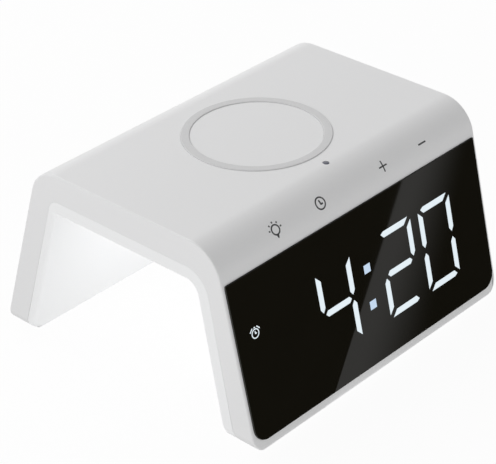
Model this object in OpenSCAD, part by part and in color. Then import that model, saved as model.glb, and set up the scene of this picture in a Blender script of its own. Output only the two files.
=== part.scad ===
// Digital alarm clock shaped like a bridge: a charging platform on two leaning legs, with a
// black display over the whole front leg and four touch keys on the curved edge above it.
// X runs along the clock, Y from front to back and Z up. The origin is under the middle of
// the clock, on the surface that its feet stand on. Outlines are drawn in the Y-Z plane.

/* [Body] */
// Length from end to end
clock_l = 115; // [112:1:135]
// Depth from the front toe to the rear toe
clock_d = 106.6; // [104:0.05:120]
// Height of the platform above the table
clock_h = 64.6; // [63.6:0.2:72]
// Thickness of the platform
platform_t = 13.6; // [13.4:0.2:16]
// Lean of the front leg's outer face, in degrees
front_lean = 12.3; // [10:0.1:14]
// How much less the front leg's inner face leans, in degrees
front_taper = 1.8; // [0:0.1:2.5]
// Lean of the rear leg, in degrees
rear_lean = 18.2; // [15:0.1:20]
// Thickness of the front leg along the table
front_leg_t = 12.45; // [12.2:0.05:15]
// Thickness of the rear leg along the table
rear_leg_t = 11.2; // [10:0.1:13]

/* [Corners] */
// Radius of the long edge between the platform and the front leg
front_edge_r = 11.8; // [11:0.1:12.4]
// Radius of the long edge between the platform and the rear leg
rear_edge_r = 12; // [10:0.1:13]
// Radius of the front leg's outer toe
front_toe_r = 1.4; // [1:0.1:2.6]
// Radius of the front leg's inner toe
front_heel_r = 3.8; // [1:0.1:4]
// Radius of the rear leg's outer toe
rear_toe_r = 2.5; // [1:0.1:2.8]
// Radius of the rear leg's inner toe
rear_heel_r = 1.3; // [1:0.1:2.2]
// Radius under the platform at the front leg
front_fillet_r = 4.5; // [3.5:0.1:5.5]
// Radius under the platform at the rear leg
rear_fillet_r = 1.5; // [0.5:0.1:3]
// Radius of the lower corners of both legs, seen from the front
leg_corner_r = 6; // [3:0.5:7]

/* [Walls] */
// Wall of the outer shell over the platform and the rear leg
skin_t = 1.8; // [1.7:0.1:2]
// Wall of the inner shell
liner_t = 1.6; // [1.4:0.1:1.8]
// Wall at both ends
end_t = 2.2; // [2:0.1:3]
// Wall under the toes
toe_t = 2; // [1.8:0.1:2.4]
// Distance of the seam from the arch at the front leg and platform
front_seam = 4.3; // [3.4:0.1:4.6]
// Distance of the seam from the arch at the rear leg
rear_seam = 2.4; // [2:0.1:2.8]
// Width of the seam between both shells
seam_gap = 0.12; // [0.05:0.01:0.3]

/* [Display] */
// White rim beside the window
side_rim = 1.2; // [0.8:0.1:2]
// White rim under the window
lower_rim = 3.7; // [2.8:0.1:4.2]
// Flat strip between the window and the curved edge
upper_rim = 1.8; // [1:0.1:2.4]
// Thickness of the window
window_t = 2; // [1.6:0.1:2.2]
// How far the window stands proud of the shell
window_proud = 0.4; // [0.2:0.1:1]
// Radius of the window's lower corners
window_r = 5; // [2:0.1:6]
// Distance from the digits to the window's upper and lower edges
digit_rise = 11.25; // [10.5:0.05:14]
// Distance from the window's side to the block of light wells
block_inset = 4.55; // [3.5:0.05:7]
// Space between two digits
digit_space = 3.7; // [3:0.1:6]
// Width of a segment
segment_w = 2; // [1.6:0.1:2.4]
// Side of a colon dot
colon_w = 2.8; // [2:0.1:3.2]
// Distance between the colon dots
colon_pitch = 12; // [9:0.1:14]
// Distance from the middle of the alarm symbol to the first digit
symbol_space = 7.8; // [5:0.1:9]

/* [Touch keys] */
// Angle of the key row above the horizontal, in degrees
key_angle = 39.5; // [37:0.5:43]
// Diameter of a touch pad
pad_d = 6; // [4:0.1:7]
// Diameter of the indicator's light pipe
pipe_d = 2; // [1.4:0.1:2.4]
// Angle of the light pipe above the horizontal, in degrees
pipe_angle = 80; // [78:0.5:84]

/* [Charging] */
// Distance from the coil to the centres of both rounded edges
coil_margin = 5.5; // [5:0.1:9]
// Bore of the coil as a share of its diameter
coil_bore_share = 0.455; // [0.3:0.005:0.6]
// Thickness of the coil
coil_t = 1.3; // [1:0.1:1.4]
// Thickness of the ferrite disc
ferrite_t = 0.8; // [0.6:0.1:0.9]
// Width of the grip ring
grip_w = 2.8; // [2:0.1:4]
// How far the grip ring stands proud
grip_proud = 0.3; // [0.1:0.1:0.6]

/* [Battery] */
// Diameter of the coin cell
cell_d = 20; // [19:0.1:20.4]
// Thickness of the coin cell
cell_t = 3.2; // [2.5:0.1:3.4]
// Diameter of the battery cap
cap_d = 26.6; // [26:0.1:27]
// Width of the coin slot in the cap
slot_w = 1.4; // [1:0.1:2]

/* [Feet] */
// Length of a foot
foot_l = 28; // [15:1:36]
// Width of a foot
foot_w = 3.6; // [2.8:0.1:4]
// Thickness of a foot
foot_t = 1.2; // [1:0.1:1.3]
// How far a foot stands proud of its toe
foot_proud = 0.4; // [0.2:0.1:0.6]

/* [Hidden] */
$fn = 64;

// Overrun of every cut past the face that it opens, and overlap of a rib with its wall
over = 1;
bury = 0.4;
// Gap between pieces that are seated on each other with play
seat_gap = 0.1;
// Gap round a piece that slips into its place
slip_gap = 0.2;

// Levels of the body
toe_z = foot_proud;
under_z = clock_h - platform_t;
ceiling_z = under_z + liner_t;
roof_z = clock_h - skin_t;

// Depths behind the outer face of the front leg
tape_t = 0.2;
web_t = 1.6;
recess_depth = window_t - window_proud + tape_t;
front_wall = recess_depth + web_t;
block_depth = recess_depth + seat_gap;
block_t = 3.5;
board_t = 1.6;
board_depth = block_depth + block_t;
board_back_depth = board_depth + board_t;

// Outline of the body: outer toe, inner toe, both inner corners, inner and outer rear toe,
// and both upper edges, counterclockwise
front_toe_y = -clock_d / 2 - toe_reach(front_toe_r, front_lean);
rear_toe_y = clock_d / 2 + toe_reach(rear_toe_r, rear_lean);
front_heel_y = front_toe_y + front_leg_t;
rear_heel_y = rear_toe_y - rear_leg_t;
inner_lean = front_lean - front_taper;
body_points = [
    [front_toe_y, toe_z],
    [front_heel_y, toe_z],
    [front_heel_y + (under_z - toe_z) * tan(inner_lean), under_z],
    [rear_heel_y - (under_z - toe_z) * tan(rear_lean), under_z],
    [rear_heel_y, toe_z],
    [rear_toe_y, toe_z],
    [rear_toe_y - (clock_h - toe_z) * tan(rear_lean), clock_h],
    [front_toe_y + (clock_h - toe_z) * tan(front_lean), clock_h]
];
body_radii = [
    front_toe_r, front_heel_r, front_fillet_r, rear_fillet_r,
    rear_heel_r, rear_toe_r, rear_edge_r, front_edge_r
];
body_walls = [toe_t, liner_t, liner_t, liner_t, toe_t, skin_t, skin_t, front_wall];
cavity_points = inset(body_points, body_walls);
cavity_radii = [
    0, 0, front_fillet_r + liner_t, rear_fillet_r + liner_t,
    0, 0, rear_edge_r - skin_t, front_edge_r - skin_t
];

// How far the corner of a toe lies beyond the toe's own rounding
function toe_reach(r, lean) = r * (1 + sin(lean)) / cos(lean) - r;
function unit(v) = v / norm(v);
function left_of(v) = [-v[1], v[0]];
function cross_of(a, b) = a[0] * b[1] - a[1] * b[0];
// A side given by two points, moved to its left by d
function moved(a, b, d) = let (n = left_of(unit(b - a)) * d) [a + n, b + n];
// The point where two sides meet
function meet(s, t) =
    let (u = s[1] - s[0], v = t[1] - t[0])
    s[0] + u * cross_of(t[0] - s[0], v) / cross_of(u, v);
// The point of a side at height z
function at_z(s, z) = meet(s, [[0, z], [clock_d, z]]);
// Every side of a counterclockwise outline moved inwards by its own wall
function inset(points, walls) =
    let (n = len(points), sides = [for (i = [0:n - 1]) moved(points[i], points[(i + 1) % n], walls[i])])
    [for (i = [0:n - 1]) meet(sides[(i + n - 1) % n], sides[i])];
// Both tangent points, the centre and the turn of a rounded corner b between a and c
function corner(a, b, c, r) =
    let (u = unit(a - b), v = unit(c - b), half = acos(u * v) / 2)
    [b + u * r / tan(half), b + v * r / tan(half), b + unit(u + v) * r / sin(half), cross_of(v, u)];
function corners(points, radii) =
    let (n = len(points))
    [for (i = [0:n - 1]) corner(points[(i + n - 1) % n], points[i], points[(i + 1) % n], radii[i])];

// Centres of the rounded edges and of the fillet that other pieces follow
fillet_centre = corners(body_points, body_radii)[2][2];
rear_edge_centre = corners(body_points, body_radii)[6][2];
front_edge_centre = corners(body_points, body_radii)[7][2];
edge_cavity_centre = corners(cavity_points, cavity_radii)[7][2];
edge_cavity_r = front_edge_r - skin_t;

// Display, measured up the front leg from its toe
leg_slope = norm(body_points[7] - body_points[0]);
edge_tangent = norm(corners(body_points, body_radii)[7][1] - body_points[7]);
window_l = clock_l - 2 * side_rim;
window_h = leg_slope - edge_tangent - upper_rim - lower_rim;
window_top_r = 0.8;
window_gap = 0.1;
digits_drop = 0.5;
digits_v = lower_rim + window_h / 2 - digits_drop;
digit_gap = 0.4;
colon_space = 3 * (colon_w + digit_gap);
symbol_d = 4.8;
symbol_v = 7.8;
block_wall = 0.6;
row_space = block_inset + block_wall + symbol_d / 2 + symbol_space + digit_space * 1.5 + colon_space / 2;
digit_w = (window_l / 2 - row_space) / 2;
digit_h = window_h - 2 * digit_rise;
digit_pitch = digit_w + digit_space;
digit_xs = [for (k = [-1.5, -0.5, 0.5, 1.5]) k * digit_pitch + sign(k) * colon_space / 2];
block_margin = 2.9;
symbol_x = digit_xs[0] - digit_w / 2 - symbol_space;
block_l = 2 * (abs(symbol_x) + symbol_d / 2 + block_wall);
block_h = digit_h + 2 * block_margin;
film_t = 0.1;
lens_t = 1.2;
led_size = [1.6, 0.8, 0.6];

// Screws that hold the boards and the coil tray
screw_r = 1;
screw_l = 4.2;
screw_head_r = 1.9;
screw_head_t = 1.3;
screw_fit = 0.05;
screw_end_gap = 0.3;
boss_r = 2.1;
drive_l = 2.2;
drive_w = 0.5;
drive_depth = 0.6;

// Display board and its screws
board_boss_rise = block_h / 2 + slip_gap + boss_r + slip_gap;
board_h = 2 * (board_boss_rise + boss_r + slip_gap);
board_end_gap = 1.6;
display_board_l = clock_l - 2 * end_t - 2 * board_end_gap;
display_screw_reach = [display_board_l / 2 - 4 * boss_r, 0.84 * digit_pitch];
display_screw_xs = [for (s = [-1, 1]) for (x = display_screw_reach) s * x];
controller_w = 10;
controller_t = 1.4;

// Touch board, seen along the key row's own axis from the centre of the curved edge's cavity
touch_front = 4.4;
touch_board_h = 8.6;
touch_boss_xs = [for (s = [-1, 1]) for (k = [0, 1]) s * (digit_pitch * (k + 1.25))];
touch_board_l = 2 * (touch_boss_xs[3] + 2 * boss_r);
notch_l = 13;
notch_depth = 3.5;
pipe_end = 6.8;
collar_w = 0.8;

// Charging stack, from the roof down
coil_d = rear_edge_centre[0] - front_edge_centre[0] - 2 * coil_margin;
coil_bore_d = coil_d * coil_bore_share;
coil_gap = 0.2;
coil_z = roof_z - coil_gap - coil_t;
ferrite_z = coil_z - ferrite_t;
ferrite_d = coil_d + 0.5 * coil_t;
tray_t = 1.2;
tray_z = ferrite_z - tray_t;
tray_wall = 1;
tray_w = ferrite_d + 2 * slip_gap + 2 * tray_wall;
tray_rim_z = coil_z + 0.8 * coil_t;
ear_r = 2.6;
ear_x = tray_w / 2 + ear_r - bury;
ear_y = tray_w / 2 - ear_r - tray_wall;
coil_y = (front_edge_centre[0] + rear_edge_centre[0]) / 2;
groove_t = 0.7;

// Battery pocket in the platform, built up from the underside
flange_t = 1.2;
cap_play = 0.3;
throat_t = 1;
lug_t = 0.9;
plug_r = cap_d / 2 - 2.1 * throat_t;
running_fit = 0.08;
lug_reach = 1.6;
lug_angle = 28;
lug_turn = 60;
notch_play = 6;
flange_play = 0.05;
throat_z = under_z + flange_t + flange_play;
groove_z = throat_z + throat_t;
lug_z = groove_z + seat_gap;
cell_z = lug_z + lug_t + seat_gap / 2;
groove_top_z = lug_z + lug_t + 0.15 * throat_t;
collar_t = 1.2;
collar_r = plug_r + lug_reach + cap_play + collar_t;
collar_top_z = groove_top_z + throat_t;
pocket_r = cell_d / 2 + cap_play;
pocket_top_z = cell_z + cell_t + 0.5;
pocket_wall = 1.3;
slot_l = 16;
slot_depth = 0.8;
battery_x = clock_l / 2 - end_t - collar_r - 1.2 * collar_t;
contact_t = 0.3;
contact_w = 4;
contact_tail = 1.8;
contact_reach = pocket_r + pocket_wall + contact_tail;
contact_turn = 40;
leaf_r = 4;
contact_z = cell_z + cell_t + seat_gap / 2;
blade_h = 2.6;

// Main board under the tray
standoff_h = 1.5;
main_top_z = tray_z - standoff_h;
main_z = main_top_z - board_t;
main_side_gap = 2.25;
main_w = 2 * (battery_x - collar_r - main_side_gap);
main_front_y = coil_y - tray_w / 2 + boss_r;
main_rear_gap = 0.6;
main_rear_y = rear_wall_y(main_top_z) - skin_t / cos(rear_lean) - main_rear_gap;
main_rear_screw = [main_w * 0.35, main_rear_y - 2 * boss_r];

// The outer face of the rear leg at height z
function rear_wall_y(z) = rear_toe_y - (z - toe_z) * tan(rear_lean);

// Power socket on the underside of the main board
socket_w = 8.94;
socket_h = 3.2;
socket_depth = 7.35;
socket_wall = 0.3;
socket_inset = 0.3;
socket_play = 0.3;
tongue_w = 6.7;
tongue_t = 0.7;
tongue_l = 5;
socket_z = main_z - socket_h / 2;
socket_mouth_y = rear_wall_y(main_z) - socket_inset;

// Ribbons and their sockets
ribbon_share = 0.22;
ribbon_w = main_w * ribbon_share;
ribbon_t = 0.3;
ribbon_clear = 1.3;
ribbon_r = front_fillet_r + liner_t + ribbon_clear;
ribbon_z = fillet_centre[1] + ribbon_r;
ribbon_socket_l = 1.4 * ribbon_w;
ribbon_socket_w = 4.5;
ribbon_socket_t = 1.7;
ribbon_socket_lip = 0.25;
main_socket_z = ribbon_z - ribbon_t / 2 - ribbon_socket_lip;
main_socket_y = main_front_y + 0.2 * ribbon_socket_w;
touch_ribbon_share = 0.13;
touch_ribbon_w = main_w * touch_ribbon_share;
touch_ribbon_x = main_w / 2 - touch_ribbon_w;
touch_socket_l = 4 / 3 * touch_ribbon_w;
touch_socket_w = 3;
touch_socket_t = 1.5;
touch_ribbon_z = main_socket_z + 0.35 * (main_z - main_socket_z);
display_socket_v = digits_v + block_h / 2 - ribbon_socket_w * 0.8;

// Front screws and parts on the underside of the main board
main_front_screw = [main_w * 0.22, main_socket_y + ribbon_socket_w + boss_r];
chip_w = 5;
chip_t = 0.9;
inductor_w = 6.6;
inductor_t = 2.8;
cap_r = 2.5;
cap_t = 3;
parts_front_y = main_front_screw[1] + 2 * boss_r;
chip_place = [-main_w * 0.2, parts_front_y + chip_w / 2];
inductor_place = [main_w * 0.22, parts_front_y + inductor_w / 2];
capacitors_y = (inductor_place[1] + inductor_w / 2 + socket_mouth_y - socket_depth) / 2;
capacitor_places = [for (k = [-1, 0, 1]) [k * 3 * cap_r, capacitors_y]];

// Buzzer in its ring on the inner shell
buzzer_r = 7;
buzzer_h = 6.5;
buzzer_wall = 1.2;
buzzer_ring_h = 3;
sound_hole_r = 0.7;
sound_hole_pitch = 3;
buzzer_x = -(clock_l / 2 - end_t - buzzer_r - buzzer_wall - 3 * ear_r);
lead_r = 0.45;
lead_z = main_top_z + lead_r + seat_gap / 2;
buzzer_lead_pitch = 3;
lead_landing = 2;

// Screws that hold both shells together
case_screw_r = 1.3;
case_screw_l = 8;
case_head_r = 2.3;
case_head_t = 1.4;
case_pad_r = 3.4;
case_pad_h = 4.2;
case_counterbore = 1.6;
case_boss_r = 3;
case_screw_x = clock_l / 2 - end_t - case_pad_r - over;
case_screw_places = [
    for (s = [-1, 1]) for (y = [front_edge_centre[0] + 1.6 * case_pad_r, rear_edge_centre[0]])
        [s * case_screw_x, y]
];

// Tongues of the inner shell over the toes of the outer shell
tongue_places = [for (k = [-1, 0, 1]) k * clock_l / 3];
toe_tongue_w = 10;
toe_tongue_t = 1.2;
toe_tongue_reach = 2.6;

// Feet under the flats of the outer shell's toes
foot_x = clock_l * 0.31;
front_seam_y = front_heel_y - (front_seam + seam_gap) / cos(inner_lean);
rear_seam_y = rear_heel_y + (rear_seam + seam_gap) / cos(rear_lean);
front_foot_y = (front_seam_y - clock_d / 2 + front_toe_r) / 2;
rear_foot_y = (rear_seam_y + clock_d / 2 - rear_toe_r) / 2;

// An outline whose corners have their own radii, as true arcs
module rounded(points, radii) {
    c = corners(points, radii);
    round_ones = [for (i = [0:len(points) - 1]) if (radii[i] > 0) i];
    difference() {
        union() {
            polygon([for (i = [0:len(points) - 1])
                for (p = radii[i] > 0 ? [c[i][0], c[i][1]] : [points[i]]) p]);
            for (i = round_ones) if (c[i][3] > 0) corner_cap(c[i], points[i], radii[i]);
        }
        for (i = round_ones) if (c[i][3] < 0) corner_cap(c[i], points[i], radii[i]);
    }
}

// The sector of a corner's circle between both tangent points
module corner_cap(c, tip, r) {
    intersection() {
        translate(c[2]) circle(r = r);
        polygon([c[0], tip, c[1], c[2]]);
    }
}

// A box that is centred on its footprint and stands on its lower face
module block(size) {
    translate([-size[0] / 2, -size[1] / 2, 0]) cube(size);
}

// A plate with round ends along X
module stadium(l, w, t) {
    linear_extrude(t) {
        square([l - w, w], center = true);
        for (s = [-1, 1]) translate([s * (l - w) / 2, 0]) circle(d = w);
    }
}

// A straight strip from p along the unit vector d
function strip(p, d, l, t) =
    let (n = left_of(d) * t / 2) [p - n, p + d * l - n, p + d * l + n, p + n];

// An outline of the Y-Z plane drawn out along X
module along_x(l) {
    rotate([90, 0, 90]) translate([0, 0, -l / 2]) linear_extrude(l) children();
}

// An outline of the Y-Z plane drawn out between both ends, each moved in by a wall, with the
// lower corners of the legs rounded
module between_ends(end_wall, toe_wall) {
    x = clock_l / 2 - end_wall;
    low = toe_z + toe_wall;
    high = clock_h + over;
    r = leg_corner_r - end_wall;
    intersection() {
        along_x(clock_l + 2 * over) children();
        rotate([90, 0, 0]) translate([0, 0, -clock_d]) linear_extrude(2 * clock_d)
            rounded([[-x, low], [x, low], [x, high], [-x, high]], [r, r, 0, 0]);
    }
}

// Local frame of the front leg's outer face: X along, Y up the leg, Z outwards
module on_front() {
    translate([0, front_toe_y, toe_z]) rotate([90 - front_lean, 0, 0]) children();
}

// Local frame at the middle of the digits, on the outer face
module on_digits() {
    on_front() translate([0, digits_v, 0]) children();
}

// Local frame at the centre of the curved edge's cavity, with Z outwards at an angle
module on_edge(angle) {
    translate([0, edge_cavity_centre[0], edge_cavity_centre[1]]) rotate([90 - angle, 0, 0]) children();
}

module body_profile() {
    rounded(body_points, body_radii);
}

module cavity_profile() {
    rounded(cavity_points, cavity_radii);
}

// The arch and the strip of the legs and platform round it that belongs to the inner shell
module seam_zone(gap) {
    front = moved(body_points[1], body_points[2], front_seam + gap);
    top = moved(body_points[2], body_points[3], front_seam + gap);
    rear = moved(body_points[3], body_points[4], rear_seam + gap);
    rounded(
        [at_z(front, -over), at_z(rear, -over), meet(top, rear), meet(front, top)],
        [0, 0, rear_fillet_r + rear_seam + gap, front_fillet_r + front_seam + gap]
    );
}

// A hole for a screw, from z = 0 upwards
module pilot(r, l) {
    translate([0, 0, -over]) cylinder(r = r + screw_fit, h = l + over);
}

// Outline of the window, from its lower edge up
module window_outline(grow) {
    x = window_l / 2 + grow;
    translate([0, lower_rim, 0]) rounded(
        [[-x, -grow], [x, -grow], [x, window_h + grow], [-x, window_h + grow]],
        [window_r + grow, window_r + grow, window_top_r + grow, window_top_r + grow]
    );
}

module display_screw_spots() {
    on_digits() for (x = display_screw_xs) for (s = [-1, 1])
        translate([x, s * board_boss_rise, -board_depth]) children();
}

module touch_screw_spots() {
    on_edge(key_angle) for (x = touch_boss_xs) translate([x, 0, touch_front]) children();
}

module tray_screw_spots() {
    for (sx = [-1, 1]) for (sy = [-1, 1])
        translate([sx * ear_x, coil_y + sy * ear_y, ferrite_z]) children();
}

module main_front_spots() {
    for (s = [-1, 1]) translate([s * main_front_screw[0], main_front_screw[1], main_top_z]) children();
}

module main_rear_spots() {
    for (s = [-1, 1]) translate([s * main_rear_screw[0], main_rear_screw[1], main_top_z]) children();
}

module case_screw_spots() {
    for (p = case_screw_places) translate([p[0], p[1], under_z]) children();
}

module foot_spots() {
    for (s = [-1, 1]) for (y = [front_foot_y, rear_foot_y]) translate([s * foot_x, y, 0]) children();
}

// Bosses that grow from the inside of the outer shell
module shell_bosses() {
    boss_top = clock_h - bury;
    display_screw_spots() cylinder(r = boss_r, h = board_depth - front_wall + bury);
    touch_screw_spots() cylinder(r = boss_r, h = front_edge_r - touch_front);
    tray_screw_spots() cylinder(r = boss_r, h = boss_top - ferrite_z);
    main_rear_spots() cylinder(r = boss_r, h = boss_top - main_top_z);
    case_screw_spots() translate([0, 0, case_pad_h + seat_gap])
        cylinder(r = case_boss_r, h = boss_top - under_z - case_pad_h - seat_gap);
}

module shell_pilots() {
    display_screw_spots() pilot(screw_r, screw_l - board_t + screw_end_gap);
    touch_screw_spots() pilot(screw_r, screw_l - board_t + screw_end_gap);
    tray_screw_spots() pilot(screw_r, screw_l - tray_t + screw_end_gap);
    main_rear_spots() pilot(screw_r, screw_l - board_t + screw_end_gap);
    case_screw_spots() translate([0, 0, case_pad_h])
        pilot(case_screw_r, case_screw_l + case_counterbore - case_pad_h + screw_end_gap);
}

module outer_shell() {
    color("white") difference() {
        union() {
            difference() {
                between_ends(0, 0) difference() {
                    body_profile();
                    seam_zone(seam_gap);
                }
                between_ends(end_t, toe_t) cavity_profile();
            }
            intersection() {
                along_x(clock_l - end_t) body_profile();
                shell_bosses();
            }
        }
        shell_pilots();
        on_front() translate([0, 0, -recess_depth]) linear_extrude(recess_depth + over)
            window_outline(window_gap);
        on_digits() translate([0, 0, -front_wall - over])
            block([block_l + 2 * slip_gap, block_h + 2 * slip_gap, front_wall + over]);
        on_edge(pipe_angle) cylinder(d = pipe_d + 2 * screw_fit, h = front_edge_r + over);
        translate([0, socket_mouth_y - socket_depth / 2, socket_z]) rotate([-90, 0, 0])
            stadium(socket_w + 2 * socket_play, socket_h + 2 * socket_play, socket_depth);
        translate([0, coil_y, clock_h - groove_t]) grip_band(grip_w + 2 * screw_fit, groove_t + over);
        foot_spots() translate([0, 0, -over])
            stadium(foot_l + slip_gap, foot_w + slip_gap, foot_t + over);
    }
}

// A tongue over a toe of the outer shell, drawn from the seam outwards along +Y
module toe_tongue(seam, lean) {
    root = seam / cos(lean);
    step = (seam_gap + toe_t * sin(lean)) / cos(lean);
    translate([-toe_tongue_w / 2, -root, toe_z + toe_t - bury])
        cube([toe_tongue_w, root - step, bury + toe_tongue_t]);
    translate([-toe_tongue_w / 2, -step - bury, toe_z + toe_t + seat_gap])
        cube([toe_tongue_w, toe_tongue_reach + step + bury, toe_tongue_t - seat_gap]);
}

// Negative space of the battery pocket: flange seat, throat with its notches, lug groove,
// cell pocket and the slots of both contacts
module battery_bores() {
    groove_r = plug_r + lug_reach + cap_play;
    translate([battery_x, 0, 0]) {
        translate([0, 0, under_z - over])
            cylinder(r = cap_d / 2 + cap_play, h = throat_z - under_z + over);
        translate([0, 0, throat_z - over]) {
            cylinder(r = plug_r + running_fit, h = throat_t + 2 * over);
            for (a = [-lug_turn, 180 - lug_turn])
                lug(a, lug_angle + notch_play, groove_r, throat_t + 2 * over);
        }
        translate([0, 0, groove_z]) cylinder(r = groove_r, h = groove_top_z - groove_z);
        translate([0, 0, groove_z]) cylinder(r = pocket_r, h = pocket_top_z - groove_z);
        rotate([0, 0, 180]) translate([0, -contact_w / 2 - slip_gap, contact_z - seat_gap])
            cube([contact_reach, contact_w + 2 * slip_gap, contact_t + 2 * seat_gap]);
        rotate([0, 0, 180 - contact_turn])
            translate([0, -contact_w / 2 - slip_gap, contact_z + contact_t - blade_h - seat_gap])
            cube([contact_reach, contact_w + 2 * slip_gap, blade_h + 2 * seat_gap]);
    }
}

// A sector of a disc of radius r, centred on the angle a
module lug(a, wide, r, t) {
    far = r / cos(wide / 2);
    intersection() {
        cylinder(r = r, h = t);
        rotate([0, 0, a]) linear_extrude(t)
            polygon([[0, 0], [far, -far * tan(wide / 2)], [far, far * tan(wide / 2)]]);
    }
}

module inner_shell() {
    color("whitesmoke") difference() {
        union() {
            difference() {
                between_ends(0, 0) intersection() {
                    body_profile();
                    seam_zone(0);
                }
                between_ends(end_t, toe_t) cavity_profile();
            }
            case_screw_spots() cylinder(r = case_pad_r, h = case_pad_h);
            translate([battery_x, 0, under_z]) {
                cylinder(r = collar_r, h = collar_top_z - under_z);
                cylinder(r = pocket_r + pocket_wall, h = pocket_top_z + throat_t - under_z);
            }
            translate([buzzer_x, 0, under_z]) difference() {
                cylinder(r = buzzer_r + buzzer_wall, h = liner_t + buzzer_ring_h);
                translate([0, 0, liner_t]) cylinder(r = buzzer_r + seat_gap, h = buzzer_ring_h + over);
            }
            intersection() {
                along_x(clock_l - end_t) body_profile();
                for (x = tongue_places) {
                    translate([x, front_seam_y, 0]) mirror([0, 1, 0]) toe_tongue(front_seam, inner_lean);
                    translate([x, rear_seam_y, 0]) toe_tongue(rear_seam, rear_lean);
                }
            }
        }
        case_screw_spots() {
            translate([0, 0, -over]) cylinder(r = case_head_r + slip_gap, h = case_counterbore + over);
            pilot(case_screw_r + slip_gap, case_pad_h + over);
        }
        battery_bores();
        translate([buzzer_x, 0, under_z - over]) {
            cylinder(r = sound_hole_r, h = liner_t + 2 * over);
            for (a = [0:60:300]) rotate([0, 0, a]) translate([sound_hole_pitch, 0, 0])
                cylinder(r = sound_hole_r, h = liner_t + 2 * over);
        }
    }
}

module display_window() {
    color([0.05, 0.05, 0.05]) on_front() translate([0, 0, window_proud - window_t])
        linear_extrude(window_t) window_outline(0);
}

// Adhesive frame between the window and the web round the display opening
module window_tape() {
    color("dimgray") on_front() translate([0, 0, -recess_depth]) linear_extrude(tape_t) difference() {
        window_outline(-window_top_r / 2);
        translate([0, digits_v]) square([block_l + 4 * slip_gap, block_h + 4 * slip_gap], center = true);
    }
}

module diffuser_film() {
    color([0.2, 0.2, 0.22]) on_digits() translate([0, 0, -block_depth - film_t])
        block([block_l, block_h, film_t]);
}

// Half of a digit's segments by name; the other half is the same turned by 180 degrees
module segment(name) {
    w = digit_w / 2;
    h = digit_h / 2;
    t = segment_w;
    tip = digit_gap + t / 4;
    near = t * 0.62;
    if (name == "a") polygon([
        [near - w + tip * 0.2, h - t / 3], [near - w + t * 0.7, h - t], [w - near - t, h - t],
        [w - near, h], [near - w + t * 0.7, h]
    ]);
    if (name == "f") polygon([
        [-w, h - near], [-w, t * 0.9 + tip / 2], [t / 2 - w, tip],
        [t - w, t * 0.9 + tip / 2], [t - w, h - near - t]
    ]);
    if (name == "b") mirror([1, 0]) segment("f");
    if (name == "g") polygon([
        [t - w - digit_gap / 4, 0], [near - w + t * 0.8, -t / 2], [w - near - t * 0.8, -t / 2],
        [w - t + digit_gap / 4, 0], [w - near - t * 0.8, t / 2], [near - w + t * 0.8, t / 2]
    ]);
    if (name == "d") rotate(180) segment("a");
    if (name == "c") rotate(180) segment("f");
    if (name == "e") rotate(180) segment("b");
}

// Segments of the four digit places that are lit to show 4:20, and those that are dark
lit_names = ["", "bcfg", "abdeg", "abcdef"];
all_names = "abcdefg";
function is_lit(k, name) = len(search(name, lit_names[k])) > 0;

module segment_outlines(lit) {
    for (k = [0:3]) for (name = all_names)
        if (is_lit(k, name) == lit) translate([digit_xs[k], 0]) segment(name);
    if (lit) for (s = [-1, 1]) translate([0, s * colon_pitch / 2]) square(colon_w, center = true);
}

module lit_segments() {
    color("lightcyan") on_digits() translate([0, 0, -block_depth - film_t - lens_t])
        linear_extrude(lens_t) segment_outlines(true);
}

module dark_segments() {
    color([0.25, 0.25, 0.27]) on_digits() translate([0, 0, -block_depth - film_t - lens_t])
        linear_extrude(lens_t) segment_outlines(false);
}

module reflector_block() {
    color([0.12, 0.12, 0.13]) on_digits() translate([0, 0, -board_depth])
        linear_extrude(block_t - film_t) difference() {
            square([block_l, block_h], center = true);
            segment_outlines(true);
            segment_outlines(false);
            translate([symbol_x, symbol_v]) circle(d = symbol_d);
        }
}

// A little alarm clock: ring, hands, two bells and a knob, raised on its round lens
module alarm_symbol() {
    r = symbol_d * 0.32;
    line = symbol_d * 0.07;
    color("white") on_digits() translate([symbol_x, symbol_v, -block_depth - film_t - lens_t]) {
        cylinder(d = symbol_d - 2 * screw_fit, h = lens_t - film_t);
        linear_extrude(lens_t) {
            difference() {
                circle(r = r);
                circle(r = r - line);
            }
            translate([-line / 2, -line / 2]) square([line, r * 0.6]);
            translate([-line / 2, -line / 2]) square([r * 0.5, line]);
            for (a = [-45, 45]) rotate(a) translate([-r / 2, r + line]) square([r, line]);
            translate([-line, r + line / 2]) square([2 * line, line]);
        }
    }
}

// Where the segments have their light emitting diodes
module led_spots() {
    w = (digit_w - segment_w) / 2;
    h = (digit_h - segment_w) / 2;
    for (k = [0:3]) translate([digit_xs[k], 0]) {
        for (s = [-1, 0, 1]) translate([0, s * h]) children();
        for (sx = [-1, 1]) for (sy = [-1, 1])
            translate([sx * w, sy * h / 2]) rotate([0, 0, 90]) children();
    }
    for (s = [-1, 1]) translate([0, s * colon_pitch / 2]) children();
    translate([symbol_x, symbol_v]) children();
}

module segment_leds() {
    color("lemonchiffon") on_digits() translate([0, 0, -board_depth]) led_spots() block(led_size);
}

module display_board() {
    color("darkgreen") difference() {
        on_digits() translate([0, 0, -board_back_depth]) block([display_board_l, board_h, board_t]);
        display_screw_spots() translate([0, 0, -board_t]) pilot(screw_r + slip_gap, board_t + over);
    }
}

module controller_chip() {
    color([0.1, 0.1, 0.1]) on_digits()
        translate([digit_xs[0], 0, -board_back_depth - controller_t])
        block([controller_w, controller_w, controller_t]);
}

module touch_board() {
    color("darkgreen") difference() {
        on_edge(key_angle) translate([0, 0, touch_front - board_t]) difference() {
            block([touch_board_l, touch_board_h, board_t]);
            translate([0, -touch_board_h / 2, -over])
                block([notch_l, 2 * notch_depth, board_t + 2 * over]);
        }
        touch_screw_spots() translate([0, 0, -board_t]) pilot(screw_r + slip_gap, board_t + over);
    }
}

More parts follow.
